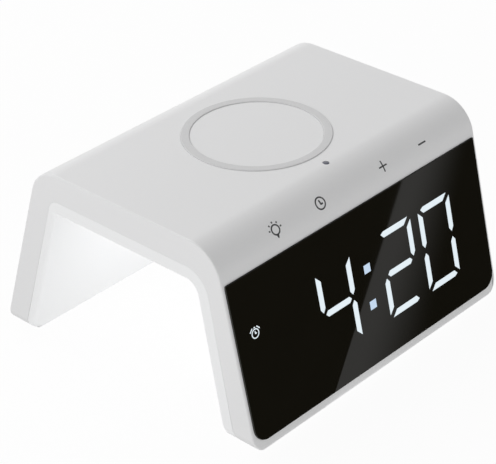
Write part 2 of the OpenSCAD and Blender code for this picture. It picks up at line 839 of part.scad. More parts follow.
module touch_pads() {
    color("gray") intersection() {
        on_edge(key_angle) for (x = digit_xs) translate([x, 0, touch_front])
            cylinder(d = pad_d, h = edge_cavity_r);
        along_x(clock_l) translate(edge_cavity_centre) circle(r = edge_cavity_r - seat_gap);
    }
}

module indicator_led() {
    color("white") on_edge(key_angle)
        translate([0, touch_board_h / 2 - 2 * led_size[1], touch_front]) block(led_size);
}

module indicator_light_pipe() {
    color("lightblue") intersection() {
        on_edge(pipe_angle) {
            translate([0, 0, pipe_end]) cylinder(d = pipe_d, h = front_edge_r);
            translate([0, 0, edge_cavity_r - 1.5 * collar_w])
                cylinder(d = pipe_d + 2 * collar_w, h = collar_w);
        }
        along_x(2 * pipe_d + 4 * collar_w) body_profile();
    }
}

module main_ribbon_socket(x, l) {
    translate([x, main_socket_y + ribbon_socket_w / 2, main_socket_z])
        block([l, ribbon_socket_w, main_z - main_socket_z]);
}

module ribbon_sockets() {
    color("ivory") {
        on_front()
            translate([0, display_socket_v - ribbon_socket_w / 2, -board_back_depth - ribbon_socket_t])
            block([ribbon_socket_l, ribbon_socket_w, ribbon_socket_t]);
        on_edge(key_angle)
            translate([touch_ribbon_x, 0, touch_front - board_t - touch_socket_t])
            block([touch_socket_l, touch_socket_w, touch_socket_t]);
        main_ribbon_socket(0, ribbon_socket_l);
        main_ribbon_socket(touch_ribbon_x, touch_socket_l);
    }
}

// Flat cable that runs up the front leg and round the fillet to the main board
module display_ribbon() {
    out = [-cos(front_lean), sin(front_lean)];
    down = [-sin(front_lean), -cos(front_lean)];
    turn_v = (fillet_centre - body_points[0]) * -down;
    color("silver") along_x(ribbon_w) translate(fillet_centre) {
        intersection() {
            difference() {
                circle(r = ribbon_r + ribbon_t / 2);
                circle(r = ribbon_r - ribbon_t / 2);
            }
            polygon([[0, 0], out * 2 * ribbon_r, (out + [0, 1]) * 2 * ribbon_r, [0, 2 * ribbon_r]]);
        }
        polygon(strip(out * ribbon_r, down, turn_v - display_socket_v, ribbon_t));
        polygon(strip([0, ribbon_r], [1, 0], main_socket_y - fillet_centre[0], ribbon_t));
    }
}

// Short flat cable between the touch board and the main board
module touch_ribbon() {
    back = touch_front - board_t - touch_socket_t;
    foot = edge_cavity_centre + back * [-cos(key_angle), sin(key_angle)];
    start_y = foot[0] + (touch_ribbon_z + ribbon_t / 2 - foot[1]) * tan(key_angle) + seat_gap / 2;
    color("silver")
        translate([touch_ribbon_x - touch_ribbon_w / 2, start_y, touch_ribbon_z - ribbon_t / 2])
        cube([touch_ribbon_w, main_socket_y - start_y, ribbon_t]);
}

module grip_band(w, t) {
    difference() {
        cylinder(d = coil_d + w, h = t);
        translate([0, 0, -over]) cylinder(d = coil_d - w, h = t + 2 * over);
    }
}

module grip_ring() {
    color("gainsboro") translate([0, coil_y, clock_h - groove_t])
        grip_band(grip_w, groove_t + grip_proud);
}

module charging_coil() {
    color("chocolate") translate([0, coil_y, coil_z]) difference() {
        cylinder(d = coil_d, h = coil_t);
        translate([0, 0, -over]) cylinder(d = coil_bore_d, h = coil_t + 2 * over);
    }
}

module ferrite_disc() {
    color([0.2, 0.2, 0.2]) translate([0, coil_y, ferrite_z]) cylinder(d = ferrite_d, h = ferrite_t);
}

// Where the two coil leads pass the tray, on its diagonal
tray_corner = (tray_w / 2 - tray_wall) * sqrt(2);
lead_reach = (ferrite_d / 2 + tray_corner) / 2;
lead_angles = [221, 229];

module coil_tray() {
    hole_r = 2 * lead_r;
    color("ivory") difference() {
        union() {
            translate([0, coil_y, tray_z]) block([tray_w, tray_w, tray_rim_z - tray_z]);
            tray_screw_spots() translate([0, 0, -tray_t]) cylinder(r = ear_r, h = tray_t);
            main_front_spots() cylinder(r = boss_r, h = standoff_h + bury);
        }
        translate([0, coil_y, ferrite_z])
            block([tray_w - 2 * tray_wall, tray_w - 2 * tray_wall, tray_rim_z - ferrite_z + over]);
        tray_screw_spots() translate([0, 0, -tray_t]) pilot(screw_r + slip_gap, tray_t + over);
        main_front_spots() pilot(screw_r, standoff_h + tray_t);
        for (a = lead_angles) translate([0, coil_y, tray_z - over]) rotate([0, 0, a])
            translate([lead_reach, 0, 0]) cylinder(r = hole_r, h = tray_t + 2 * over);
    }
}

module coil_leads() {
    z = coil_z + coil_t / 2;
    color("chocolate") for (a = lead_angles) translate([0, coil_y, z]) rotate([0, 0, a]) {
        translate([coil_d / 2 + seat_gap / 2, 0, 0]) rotate([0, 90, 0])
            cylinder(r = lead_r, h = lead_reach - coil_d / 2 - seat_gap / 2);
        translate([lead_reach, 0, 0]) sphere(r = lead_r);
        translate([lead_reach, 0, main_top_z + seat_gap / 2 - z])
            cylinder(r = lead_r, h = z - main_top_z - seat_gap / 2);
    }
}

module main_board() {
    color("darkgreen") difference() {
        translate([-main_w / 2, main_front_y, main_z])
            cube([main_w, main_rear_y - main_front_y, board_t]);
        main_front_spots() translate([0, 0, -board_t]) pilot(screw_r + slip_gap, board_t + over);
        main_rear_spots() translate([0, 0, -board_t]) pilot(screw_r + slip_gap, board_t + over);
    }
}

module charger_chip() {
    color([0.1, 0.1, 0.1]) translate([chip_place[0], chip_place[1], main_z - chip_t])
        block([chip_w, chip_w, chip_t]);
}

module power_inductor() {
    color([0.25, 0.25, 0.25]) translate([inductor_place[0], inductor_place[1], main_z - inductor_t])
        block([inductor_w, inductor_w, inductor_t]);
}

module capacitors() {
    color("silver") for (p = capacitor_places) translate([p[0], p[1], main_z - cap_t])
        cylinder(r = cap_r, h = cap_t);
}

module power_socket_shell() {
    color("silver") translate([0, socket_mouth_y, socket_z]) rotate([90, 0, 0]) difference() {
        stadium(socket_w, socket_h, socket_depth);
        translate([0, 0, -over]) stadium(
            socket_w - 2 * socket_wall, socket_h - 2 * socket_wall, socket_depth - socket_wall + over
        );
    }
}

module power_socket_tongue() {
    color([0.1, 0.1, 0.1]) translate([0, socket_mouth_y - socket_depth + socket_wall, socket_z])
        rotate([-90, 0, 0]) {
            stadium(socket_w - 2 * socket_wall, socket_h - 2 * socket_wall, socket_wall * 3);
            translate([-tongue_w / 2, -tongue_t / 2, 0]) cube([tongue_w, tongue_t, tongue_l]);
        }
}

module buzzer() {
    color([0.12, 0.12, 0.12]) translate([buzzer_x, 0, ceiling_z]) difference() {
        cylinder(r = buzzer_r, h = buzzer_h);
        translate([0, 0, -over]) cylinder(r = sound_hole_r * 1.5, h = over + buzzer_h / 4);
    }
}

module buzzer_leads() {
    start_x = buzzer_x + buzzer_r + seat_gap / 2;
    end_x = lead_landing - main_w / 2;
    color("firebrick") for (s = [-1, 1]) translate([start_x, s * buzzer_lead_pitch / 2, lead_z])
        rotate([0, 90, 0]) cylinder(r = lead_r, h = end_x - start_x);
}

module coin_cell() {
    color("silver") translate([battery_x, 0, cell_z]) cylinder(d = cell_d, h = cell_t);
}

// Side contact on the rim of the cell, with a tail out of the pocket
module positive_contact() {
    inner = cell_d / 2 + seat_gap / 2;
    color("gold") translate([battery_x, 0, contact_z + contact_t]) rotate([0, 0, 180 - contact_turn]) {
        translate([inner, -contact_w / 2, -blade_h]) cube([contact_t, contact_w, blade_h]);
        translate([inner, -contact_w / 2, -contact_t])
            cube([contact_reach - inner, contact_w, contact_t]);
    }
}

// Leaf on the face of the cell, with a tail out of the pocket
module negative_contact() {
    color("gold") translate([battery_x, 0, contact_z]) {
        cylinder(r = leaf_r, h = contact_t);
        rotate([0, 0, 180]) translate([0, -contact_w / 2, 0])
            cube([contact_reach, contact_w, contact_t]);
    }
}

module battery_leads() {
    z = contact_z + contact_t + seat_gap / 2 + lead_r;
    start_x = main_w / 2 - lead_landing;
    positive = contact_reach * [-cos(contact_turn), sin(contact_turn)];
    color("firebrick") for (tip = [[-contact_reach, 0], positive])
        translate([start_x, tip[1], max(z, lead_z)]) rotate([0, 90, 0])
            cylinder(r = lead_r, h = battery_x + tip[0] - start_x + contact_tail / 2);
}

// Round cap that is turned with a coin: flange, plug and two lugs behind the throat
module battery_cap() {
    color("white") translate([battery_x, 0, under_z]) difference() {
        union() {
            cylinder(d = cap_d, h = flange_t);
            cylinder(r = plug_r, h = lug_z + lug_t - under_z);
            for (a = [0, 180]) translate([0, 0, lug_z - under_z])
                lug(a, lug_angle, plug_r + lug_reach, lug_t);
        }
        translate([0, 0, -over]) block([slot_l, slot_w, slot_depth + over]);
    }
}

// A cross-head screw whose head sits below z = 0 and whose shank points up
module screw(r, l, head_r, head_t) {
    cylinder(r = r, h = l);
    translate([0, 0, -head_t]) difference() {
        cylinder(r = head_r, h = head_t);
        translate([0, 0, -over]) {
            block([drive_l, drive_w, drive_depth + over]);
            block([drive_w, drive_l, drive_depth + over]);
        }
    }
}

module board_screw() {
    screw(screw_r, screw_l, screw_head_r, screw_head_t);
}

module board_screws() {
    color("darkgray") {
        display_screw_spots() translate([0, 0, -board_t]) board_screw();
        touch_screw_spots() translate([0, 0, -board_t]) board_screw();
        tray_screw_spots() translate([0, 0, -tray_t]) board_screw();
        main_front_spots() translate([0, 0, -board_t]) board_screw();
        main_rear_spots() translate([0, 0, -board_t]) board_screw();
    }
}

module case_screws() {
    color("darkgray") case_screw_spots() translate([0, 0, case_counterbore])
        screw(case_screw_r, case_screw_l, case_head_r, case_head_t);
}

module rubber_feet() {
    color("lightgray") foot_spots() stadium(foot_l, foot_w, foot_t);
}

outer_shell();
inner_shell();
display_window();
window_tape();
diffuser_film();
reflector_block();
lit_segments();
dark_segments();
alarm_symbol();
segment_leds();
display_board();
controller_chip();
touch_board();
touch_pads();
indicator_led();
indicator_light_pipe();
ribbon_sockets();
display_ribbon();
touch_ribbon();
grip_ring();
charging_coil();
ferrite_disc();
coil_tray();
coil_leads();
main_board();
charger_chip();
power_inductor();
capacitors();
power_socket_shell();
power_socket_tongue();
buzzer();
buzzer_leads();
coin_cell();
positive_contact();
negative_contact();
battery_leads();
battery_cap();
board_screws();
case_screws();
rubber_feet();
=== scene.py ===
"""Looks of a digital alarm clock with a charging platform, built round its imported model.

The clock is a bridge of two white shells. A black window with lit digits covers the front leg,
four signs are printed on the curved edge above it, and a silicone ring lies on the platform.
Lengths are metres in the model's frame: X along the clock, Y from front to back and Z up.
"""

from __future__ import annotations

import logging
import math
from collections.abc import Callable, Iterable, Iterator
from contextlib import contextmanager
from dataclasses import dataclass, field
from enum import Enum

import bpy
from mathutils import Matrix, Vector


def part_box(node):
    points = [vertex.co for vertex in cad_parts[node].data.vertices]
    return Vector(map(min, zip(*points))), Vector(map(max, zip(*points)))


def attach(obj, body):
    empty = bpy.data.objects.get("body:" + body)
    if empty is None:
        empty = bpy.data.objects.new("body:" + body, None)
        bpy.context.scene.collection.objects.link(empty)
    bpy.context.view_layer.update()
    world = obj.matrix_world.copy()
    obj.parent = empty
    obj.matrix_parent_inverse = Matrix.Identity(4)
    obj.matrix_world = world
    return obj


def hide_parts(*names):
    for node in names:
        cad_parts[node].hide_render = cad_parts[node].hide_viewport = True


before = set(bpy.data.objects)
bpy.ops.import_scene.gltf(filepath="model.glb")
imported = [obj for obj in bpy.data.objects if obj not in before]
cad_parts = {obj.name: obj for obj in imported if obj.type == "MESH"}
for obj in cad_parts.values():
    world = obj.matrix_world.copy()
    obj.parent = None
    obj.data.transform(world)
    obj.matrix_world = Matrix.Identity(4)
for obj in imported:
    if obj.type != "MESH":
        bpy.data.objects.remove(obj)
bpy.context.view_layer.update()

LOG = logging.getLogger("alarm_clock")
MM = 0.001
NEAR = 0.02 * MM
ALONG = 0.9
FACING = 0.99
SHARP_ANGLE = 40
FLATS = 3
SMALL_FLATS = 2
CHAMFER_FLATS = 1
HALF_LENGTH = 57.5 * MM
UNDERSIDE = 51 * MM
FRONT_LEAN = math.radians(12.3)
REAR_LEAN = math.radians(18.2)
FRONT_TOE = Vector((0, -53.6381, 0.4)) * MM
REAR_TOE = Vector((0, 54.2536, 0.4)) * MM
COIL_MIDDLE = Vector((0, -2.838, 0)) * MM
BUZZER_MIDDLE = Vector((-39.3, 0, 0)) * MM
CAP_MIDDLE = Vector((39.56, 0, 51)) * MM

Rgb = tuple[float, float, float]
Place = tuple[float, float]
Form = bpy.types.Object
Tree = bpy.types.NodeTree
EdgeTest = Callable[["Edge"], bool]
EdgeWidth = Callable[["Edge"], float]
FaceTest = Callable[[Vector, Vector], bool]


class Body(Enum):
    """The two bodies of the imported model."""

    CASE = "case"
    CAP = "cap"


class Pattern(Enum):
    """How a finish varies over its surface."""

    GRAIN = "grain"
    STREAKS = "streaks"
    RINGS = "rings"
    TRACES = "traces"
    STRIPES = "stripes"


@dataclass(frozen=True)
class Edge:
    """An edge of a mesh as the bevels see it.

    Attributes:
        middle: its middle point.
        run: its unit direction.
        sides: the normals of both faces that meet in it.
    """

    middle: Vector
    run: Vector
    sides: tuple[Vector, Vector]

    def turn(self) -> float:
        """Gives the angle between both faces, in degrees."""
        return math.degrees(self.sides[0].angle(self.sides[1]))

    def end_side(self) -> Vector:
        """Gives the normal of the face beside an end, which is the one that looks along the clock least."""
        return min(self.sides, key=lambda normal: abs(normal.x))


@dataclass(frozen=True)
class Piece:
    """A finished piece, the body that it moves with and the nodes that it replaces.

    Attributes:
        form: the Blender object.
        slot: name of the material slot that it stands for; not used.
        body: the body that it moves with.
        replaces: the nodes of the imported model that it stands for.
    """

    form: Form
    slot: str
    body: Body = Body.CASE
    replaces: tuple[str, ...] = ()


def linear(colour: Rgb) -> tuple[float, float, float, float]:
    """Turns a screen colour into the linear colour that a shader takes.

    Args:
        colour: red, green and blue from 0 to 255.

    Returns:
        The linear colour with an alpha of 1.
    """
    parts = [v / 255 for v in colour]
    red, green, blue = [v / 12.92 if v <= 0.04045 else ((v + 0.055) / 1.055) ** 2.4 for v in parts]
    return red, green, blue, 1


def plug(tree: Tree, node: bpy.types.Node, inputs: dict[str | int, object]) -> None:
    """Sets or links the inputs of a node.

    Args:
        tree: the nodes that it belongs to.
        node: the node.
        inputs: for each input a constant, or the socket that is linked to it.
    """
    for name, value in inputs.items():
        if isinstance(value, bpy.types.NodeSocket):
            tree.links.new(value, node.inputs[name])
        else:
            node.inputs[name].default_value = value


def add_node(tree: Tree, kind: str, inputs: dict[str | int, object], **settings: object) -> bpy.types.Node:
    """Adds a node.

    Args:
        tree: the nodes to add to.
        kind: its kind, without the first part that all shader nodes share.
        inputs: what goes into its inputs.
        settings: its other settings.

    Returns:
        The node.
    """
    node = tree.nodes.new(f"ShaderNode{kind}")
    for name, value in settings.items():
        setattr(node, name, value)
    plug(tree, node, inputs)
    return node


def new_material(name: str) -> bpy.types.Material:
    """Makes a material that has only the nodes it starts with.

    Args:
        name: its name.

    Returns:
        The material.
    """
    material = bpy.data.materials.new(name)
    material.use_nodes = True
    return material


@dataclass(frozen=True)
class Finish:
    """A finish whose colour, gloss and relief vary a little over the surface.

    Attributes:
        name: name of the material.
        colour: its screen colour, 0 to 255.
        shade: the screen colour that its pattern mixes in.
        pattern: how it varies.
        size: size of the pattern in metres.
        roughness: middle roughness.
        spread: how far the roughness varies.
        relief: height of the relief in metres.
        metallic: 1 for bare metal.
        specular: specular level of the shader.
        coat: weight of a clear coat.
        centre: middle of the pattern, for rings.
        coat_roughness: roughness of the coat.
        streak: scale of a streak's pattern along the clock, as a share of its scale across.
        ripple: scale of the waves in rings and stripes, and how much they wander.
        gap: width of the gaps between traces.
        detail: how fine a grain's or streak's parts are.
    """

    name: str
    colour: Rgb
    shade: Rgb
    pattern: Pattern = Pattern.GRAIN
    size: float = 1.2 * MM
    roughness: float = 0.45
    spread: float = 0.05
    relief: float = 0.01 * MM
    metallic: float = 0.0
    specular: float = 0.5
    coat: float = 0.0
    centre: Iterable[float] = (0, 0, 0)
    coat_roughness: float = 0.08
    streak: float = 0.03
    ripple: tuple[float, float] = (0.5, 0.3)
    gap: float = 0.03
    detail: float = 3

    def material(self) -> bpy.types.Material:
        """Gives the finish as a material, which is made once."""
        return bpy.data.materials.get(self.name) or self.make()

    def make(self) -> bpy.types.Material:
        """Makes the material.

        Returns:
            The new material.
        """
        material = new_material(self.name)
        tree = material.node_tree
        value = self.values(tree)
        colours = {"Factor": value, "A": linear(self.colour), "B": linear(self.shade)}
        mix = add_node(tree, "Mix", colours, data_type="RGBA")
        gloss = {"To Min": self.roughness - self.spread, "To Max": self.roughness + self.spread}
        inputs = {
            "Metallic": self.metallic,
            "Specular IOR Level": self.specular,
            "Coat Weight": self.coat,
            "Coat Roughness": self.coat_roughness,
            "Base Color": mix.outputs["Result"],
            "Roughness": add_node(tree, "MapRange", gloss | {"Value": value}).outputs["Result"],
        }
        if self.relief:
            bump = {"Distance": self.relief, "Strength": 1, "Height": value}
            inputs["Normal"] = add_node(tree, "Bump", bump).outputs["Normal"]
        plug(tree, tree.nodes["Principled BSDF"], inputs)
        return material

    def values(self, tree: Tree) -> bpy.types.NodeSocket:
        """Adds the pattern's nodes.

        Args:
            tree: the material's nodes.

        Returns:
            The socket that gives the pattern's value, 0 to 1.
        """
        streaks = self.pattern is Pattern.STREAKS
        mapping = {
            "Vector": add_node(tree, "TexCoord", {}).outputs["Object"],
            "Location": [-v / self.size for v in self.centre],
            "Scale": [(self.streak if streaks else 1) / self.size, 1 / self.size, 1 / self.size],
        }
        vector = add_node(tree, "Mapping", mapping, vector_type="POINT").outputs["Vector"]
        if self.pattern in (Pattern.GRAIN, Pattern.STREAKS):
            noise = {"Vector": vector, "Scale": 1, "Detail": self.detail}
            return add_node(tree, "TexNoise", noise).outputs["Fac"]
        if self.pattern is Pattern.TRACES:
            return add_node(tree, "TexBrick", {"Vector": vector, "Mortar Size": self.gap}).outputs["Fac"]
        waves = {"Vector": vector, "Scale": self.ripple[0], "Distortion": self.ripple[1]}
        rings = {"wave_type": "RINGS", "rings_direction": "Z"} if self.pattern is Pattern.RINGS else {}
        return add_node(tree, "TexWave", waves, **rings).outputs["Fac"]


@dataclass(frozen=True)
class Glow(Finish):
    """A finish that shines by itself.

    Attributes:
        strength: strength of its light.
        unlit: its screen colour under other light.
    """

    strength: float = 1.0
    unlit: Rgb = (12, 12, 12)

    def make(self) -> bpy.types.Material:
        """Makes the material.

        Returns:
            The new material, whose light takes the place of its colour.
        """
        material = super().make()
        tree = material.node_tree
        shader = tree.nodes["Principled BSDF"]
        link = shader.inputs["Base Color"].links[0]
        light = link.from_socket
        tree.links.remove(link)
        plug(
            tree,
            shader,
            {"Base Color": linear(self.unlit), "Emission Color": light, "Emission Strength": self.strength},
        )
        return material


def metal(name: str, colour: Rgb, shade: Rgb, size: float, roughness: float) -> Finish:
    """Gives the finish of a bare metal with fine streaks."""
    return Finish(name, colour, shade, Pattern.STREAKS, size, roughness, metallic=1, relief=0.002 * MM)


WHITE_SHELL = Finish(
    "white_shell", (240, 240, 240), (236, 236, 237), size=0.5 * MM, roughness=0.42, relief=0.004 * MM
)
WHITE_LINER = Finish(
    "white_liner", (250, 250, 250), (246, 247, 248), size=0.5 * MM, roughness=0.5, relief=0.006 * MM
)
WHITE_CAP = Finish(
    "white_cap", (238, 238, 238), (232, 232, 234), size=0.4 * MM, roughness=0.5, relief=0.008 * MM
)
BLACK_WINDOW = Finish(
    "black_window", (24, 22, 16), (26, 24, 18), size=9 * MM, roughness=0.03, spread=0.01, relief=0,
    specular=0.3,
)
# Lighter grey painted on the window's end faces as the highlight of its edges, not a colour of the window's
# own.
PAINTED_EDGE_HIGHLIGHT = Finish(
    "painted_edge_highlight", (66, 66, 62), (74, 74, 70), size=2 * MM, roughness=0.4, relief=0, specular=0.3
)
KEY_PRINT = Finish("key_print", (34, 34, 36), (48, 48, 50), size=0.3 * MM, roughness=0.6)
LIT_DIGIT = Glow("lit_digit", (232, 241, 246), (222, 235, 243), size=0.8 * MM, roughness=0.4, relief=0)
LIT_COLON = Glow("lit_colon", (200, 218, 238), (188, 210, 234), size=0.8 * MM, roughness=0.4, relief=0)
LIT_GUIDE = Glow("lit_guide", (232, 240, 246), (220, 232, 242), size=0.8 * MM, roughness=0.5, strength=0.8)
DARK_GUIDE = Finish("dark_guide", (186, 188, 190), (172, 174, 178), size=0.8 * MM, roughness=0.5)
PIPE_GLAZE = Finish(
    "pipe_glaze", (58, 60, 74), (84, 88, 110), size=0.7 * MM, roughness=0.12, relief=0, coat=0.5
)
SILICONE = Finish("silicone", (226, 226, 226), (216, 216, 217), size=0.3 * MM, roughness=0.75)
GREY_RUBBER = Finish(
    "grey_rubber", (120, 121, 122), (104, 105, 107), size=0.35 * MM, roughness=0.85, relief=0.02 * MM
)
ZINC_SCREW = metal("zinc_screw", (190, 192, 196), (160, 162, 168), 0.2 * MM, 0.32)
SOCKET_STEEL = metal("socket_steel", (176, 178, 182), (150, 152, 158), 0.15 * MM, 0.28)
GOLD_CONTACT = metal("gold_contact", (222, 182, 98), (196, 152, 70), 0.2 * MM, 0.3)
CAN_SILVER = metal("can_silver", (196, 197, 200), (172, 173, 178), 0.3 * MM, 0.35)
CELL_STEEL = Finish(
    "cell_steel", (200, 201, 204), (176, 178, 182), Pattern.RINGS, 0.3 * MM, 0.25, metallic=1,
    centre=(CAP_MIDDLE.x, 0, 0), relief=0.003 * MM,
)
COPPER_WINDING = Finish(
    "copper_winding", (196, 112, 62), (120, 58, 28), Pattern.RINGS, 0.75 * MM, 0.35, metallic=0.9,
    centre=COIL_MIDDLE, relief=0.15 * MM,
)
ENAMEL_WIRE = Finish(
    "enamel_wire", (190, 104, 54), (150, 76, 36), Pattern.STREAKS, 0.2 * MM, 0.3, metallic=0.9,
    relief=0.003 * MM,
)
FERRITE = Finish("ferrite", (58, 58, 60), (40, 40, 42), size=0.25 * MM, roughness=0.75, relief=0.02 * MM)
TRAY_IVORY = Finish("tray_ivory", (226, 220, 204), (216, 209, 192), size=0.5 * MM, roughness=0.55)
SOLDER_MASK = Finish(
    "solder_mask", (18, 92, 56), (34, 122, 78), Pattern.TRACES, 2.4 * MM, 0.3, coat=0.4, relief=0.03 * MM
)
CHIP_EPOXY = Finish("chip_epoxy", (30, 30, 32), (42, 42, 44), size=0.2 * MM, roughness=0.6)
DIODE_RESIN = Finish(
    "diode_resin", (238, 232, 196), (228, 214, 150), size=0.5 * MM, roughness=0.35, coat=0.3
)
FOAM = Finish("foam", (112, 114, 118), (84, 86, 90), size=0.35 * MM, roughness=0.9, relief=0.08 * MM)
BLOCK_BLACK = Finish("block_black", (26, 26, 27), (34, 34, 35), size=0.4 * MM, roughness=0.6)
TAPE = Finish("tape", (20, 20, 21), (30, 30, 31), size=0.3 * MM, roughness=0.8)
SMOKED_FILM = Finish("smoked_film", (70, 72, 74), (62, 64, 66), size=1.5 * MM, roughness=0.55)
CONNECTOR_IVORY = Finish("connector_ivory", (228, 222, 202), (216, 209, 186), size=0.4 * MM)
RIBBON = Finish(
    "ribbon", (236, 238, 240), (204, 208, 214), Pattern.STRIPES, 0.5 * MM, 0.4, relief=0.03 * MM
)
BUZZER_BLACK = Finish(
    "buzzer_black", (28, 28, 30), (38, 38, 40), Pattern.RINGS, 0.9 * MM, 0.5, centre=BUZZER_MIDDLE
)
RED_WIRE = Finish("red_wire", (186, 34, 30), (160, 24, 22), size=0.4 * MM, roughness=0.4)

NODE_FINISHES: dict[str, Finish] = {
    "window_tape": TAPE,
    "diffuser_film": SMOKED_FILM,
    "reflector_block": BLOCK_BLACK,
    "lit_segments": LIT_GUIDE,
    "dark_segments": DARK_GUIDE,
    "alarm_symbol": LIT_GUIDE,
    "segment_leds": DIODE_RESIN,
    "display_board": SOLDER_MASK,
    "controller_chip": CHIP_EPOXY,
    "touch_board": SOLDER_MASK,
    "touch_pads": FOAM,
    "indicator_led": DIODE_RESIN,
    "ribbon_sockets": CONNECTOR_IVORY,
    "display_ribbon": RIBBON,
    "touch_ribbon": RIBBON,
    "charging_coil": COPPER_WINDING,
    "ferrite_disc": FERRITE,
    "coil_tray": TRAY_IVORY,
    "coil_leads": ENAMEL_WIRE,
    "main_board": SOLDER_MASK,
    "charger_chip": CHIP_EPOXY,
    "power_inductor": FERRITE,
    "capacitors": CAN_SILVER,
    "buzzer": BUZZER_BLACK,
    "buzzer_leads": RED_WIRE,
    "coin_cell": CELL_STEEL,
    "positive_contact": GOLD_CONTACT,
    "negative_contact": GOLD_CONTACT,
    "battery_leads": RED_WIRE,
    "board_screws": ZINC_SCREW,
}


def take(form: Form) -> None:
    """Makes one object the only one that is selected, and the active one.

    Args:
        form: the object.
    """
    bpy.ops.object.select_all(action="DESELECT")
    form.select_set(True)
    bpy.context.view_layer.objects.active = form


@contextmanager
def editing(form: Form, everything: bool = True) -> Iterator[None]:
    """Keeps a form in edit mode for a block.

    Args:
        form: the object.
        everything: whether all of it is selected first.

    Yields:
        Nothing.
    """
    take(form)
    bpy.ops.object.mode_set(mode="EDIT")
    if everything:
        bpy.ops.mesh.select_all(action="SELECT")
    yield
    bpy.ops.object.mode_set(mode="OBJECT")


def modify(form: Form, kind: str, **settings: object) -> Form:
    """Applies a modifier to a form.

    Args:
        form: the object.
        kind: kind of modifier.
        settings: its settings.

    Returns:
        The object.
    """
    take(form)
    modifier = form.modifiers.new(kind.lower(), kind)
    for name, value in settings.items():
        setattr(modifier, name, value)
    bpy.ops.object.modifier_apply(modifier=modifier.name)
    return form


def name_form(form: Form, name: str) -> Form:
    """Gives an object and its mesh their name."""
    form.name = form.data.name = name
    return form


def add_form(name: str, add: Callable[..., object], **settings: object) -> Form:
    """Adds a primitive as the start of a piece.

    Args:
        name: name of the piece.
        add: the operator that adds the primitive.
        settings: its settings.

    Returns:
        The object, which alone is selected.
    """
    bpy.ops.object.select_all(action="DESELECT")
    add(**settings)
    return name_form(bpy.context.active_object, name)


def settle(form: Form) -> Form:
    """Puts an object's place, turn and scale into its mesh.

    Args:
        form: the object.

    Returns:
        The object.
    """
    take(form)
    bpy.ops.object.transform_apply(location=True, rotation=True, scale=True)
    return form


def place(form: Form, matrix: Matrix) -> Form:
    """Moves a form that was made at the origin to its place, in its mesh."""
    form.matrix_world = matrix
    return settle(form)

# Attaches finished pieces to their bodies, hides the nodes that they replace, and logs them.

def dress(form: Form, finish: Finish) -> Form:
    """Gives a form one finish all over.

    Args:
        form: the object.
        finish: its finish.

    Returns:
        The object.
    """
    form.data.materials.clear()
    form.data.materials.append(finish.material())
    return form


def node_copy(node: str, name: str, join: float = 0.03 * MM, flat: float = 0.4) -> Form:
    """Copies a node's mesh, joins its loose triangles and clears the lines inside flat faces.

    Args:
        node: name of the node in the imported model.
        name: name of the copy.
        join: distance under which points are joined.
        flat: largest angle between faces that are made one, in degrees.

    Returns:
        The copy.
    """
    form = bpy.data.objects.new(name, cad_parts[node].data.copy())
    bpy.context.scene.collection.objects.link(form)
    name_form(form, name)
    take(form)
    bpy.ops.mesh.customdata_custom_splitnormals_clear()
    with editing(form):
        bpy.ops.mesh.remove_doubles(threshold=join)
        bpy.ops.mesh.dissolve_limited(angle_limit=math.radians(flat))
        bpy.ops.mesh.select_all(action="DESELECT")
    return form


def pick_faces(form: Form, test: FaceTest) -> None:
    """Selects the faces that pass a test and nothing else.

    Args:
        form: the object, in object mode.
        test: told a face's centre and normal, says whether it is picked.
    """
    mesh = form.data
    mesh.vertices.foreach_set("select", [False] * len(mesh.vertices))
    mesh.edges.foreach_set("select", [False] * len(mesh.edges))
    mesh.polygons.foreach_set("select", [test(face.center, face.normal) for face in mesh.polygons])
    bpy.context.tool_settings.mesh_select_mode = (False, False, True)


def edges_of(form: Form) -> list[Edge | None]:
    """Lists the edges of a form.

    Args:
        form: the object, in object mode.

    Returns:
        Every edge in the mesh's order, or None for one that isn't between two faces.
    """
    mesh = form.data
    sides: dict[tuple[int, int], list[Vector]] = {}
    for face in mesh.polygons:
        for key in face.edge_keys:
            sides.setdefault(key, []).append(face.normal)
    edges: list[Edge | None] = []
    for edge in mesh.edges:
        a, b = (mesh.vertices[i].co for i in edge.vertices)
        normals = sides.get(tuple(sorted(edge.vertices)), [])
        whole = len(normals) == 2
        edges.append(Edge((a + b) / 2, (b - a).normalized(), (normals[0], normals[1])) if whole else None)
    return edges


def round_by(form: Form, width: EdgeWidth, segments: int) -> None:
    """Rounds every edge by its own width.

    Args:
        form: the object.
        width: told an edge, gives the width of its rounding, or 0 for none.
        segments: how many flats a rounding is made of.
    """
    widths = [width(edge) if edge else 0.0 for edge in edges_of(form)]
    widest = max(widths)
    if not widest:
        raise ValueError(f"{form.name} has no edge to round")
    weights = form.data.attributes.new("bevel_weight_edge", "FLOAT", "EDGE")
    weights.data.foreach_set("value", [value / widest for value in widths])
    modify(form, "BEVEL", limit_method="WEIGHT", width=widest, segments=segments, use_clamp_overlap=False)
    LOG.debug("%s: %d edges rounded", form.name, sum(value > 0 for value in widths))


def round_edges(form: Form, test: EdgeTest, width: float, segments: int = FLATS) -> None:
    """Rounds the edges that pass a test by one width."""
    round_by(form, lambda edge: width if test(edge) else 0, segments)


def sharp(edge: Edge) -> bool:
    """Tells whether an edge turns by more than the sharp angle."""
    return edge.turn() > SHARP_ANGLE


def smooth(form: Form, angle: float = 35, weight: int = 90) -> Form:
    """Shades a form smooth, with its flats kept flat.

    Args:
        form: the object.
        angle: edges that turn by more than this stay sharp, in degrees.
        weight: how far large faces lead the shading, in per cent.

    Returns:
        The object.
    """
    take(form)
    bpy.ops.object.shade_smooth_by_angle(angle=math.radians(angle))
    return modify(form, "WEIGHTED_NORMAL", keep_sharp=True, weight=weight)


def box_form(name: str, size: Iterable[float], centre: Iterable[float] = (0, 0, 0)) -> Form:
    """Adds a box of a size along X, Y and Z as the start of a piece."""
    add = bpy.ops.mesh.primitive_cube_add
    return settle(add_form(name, add, size=1, location=tuple(centre), scale=tuple(size)))


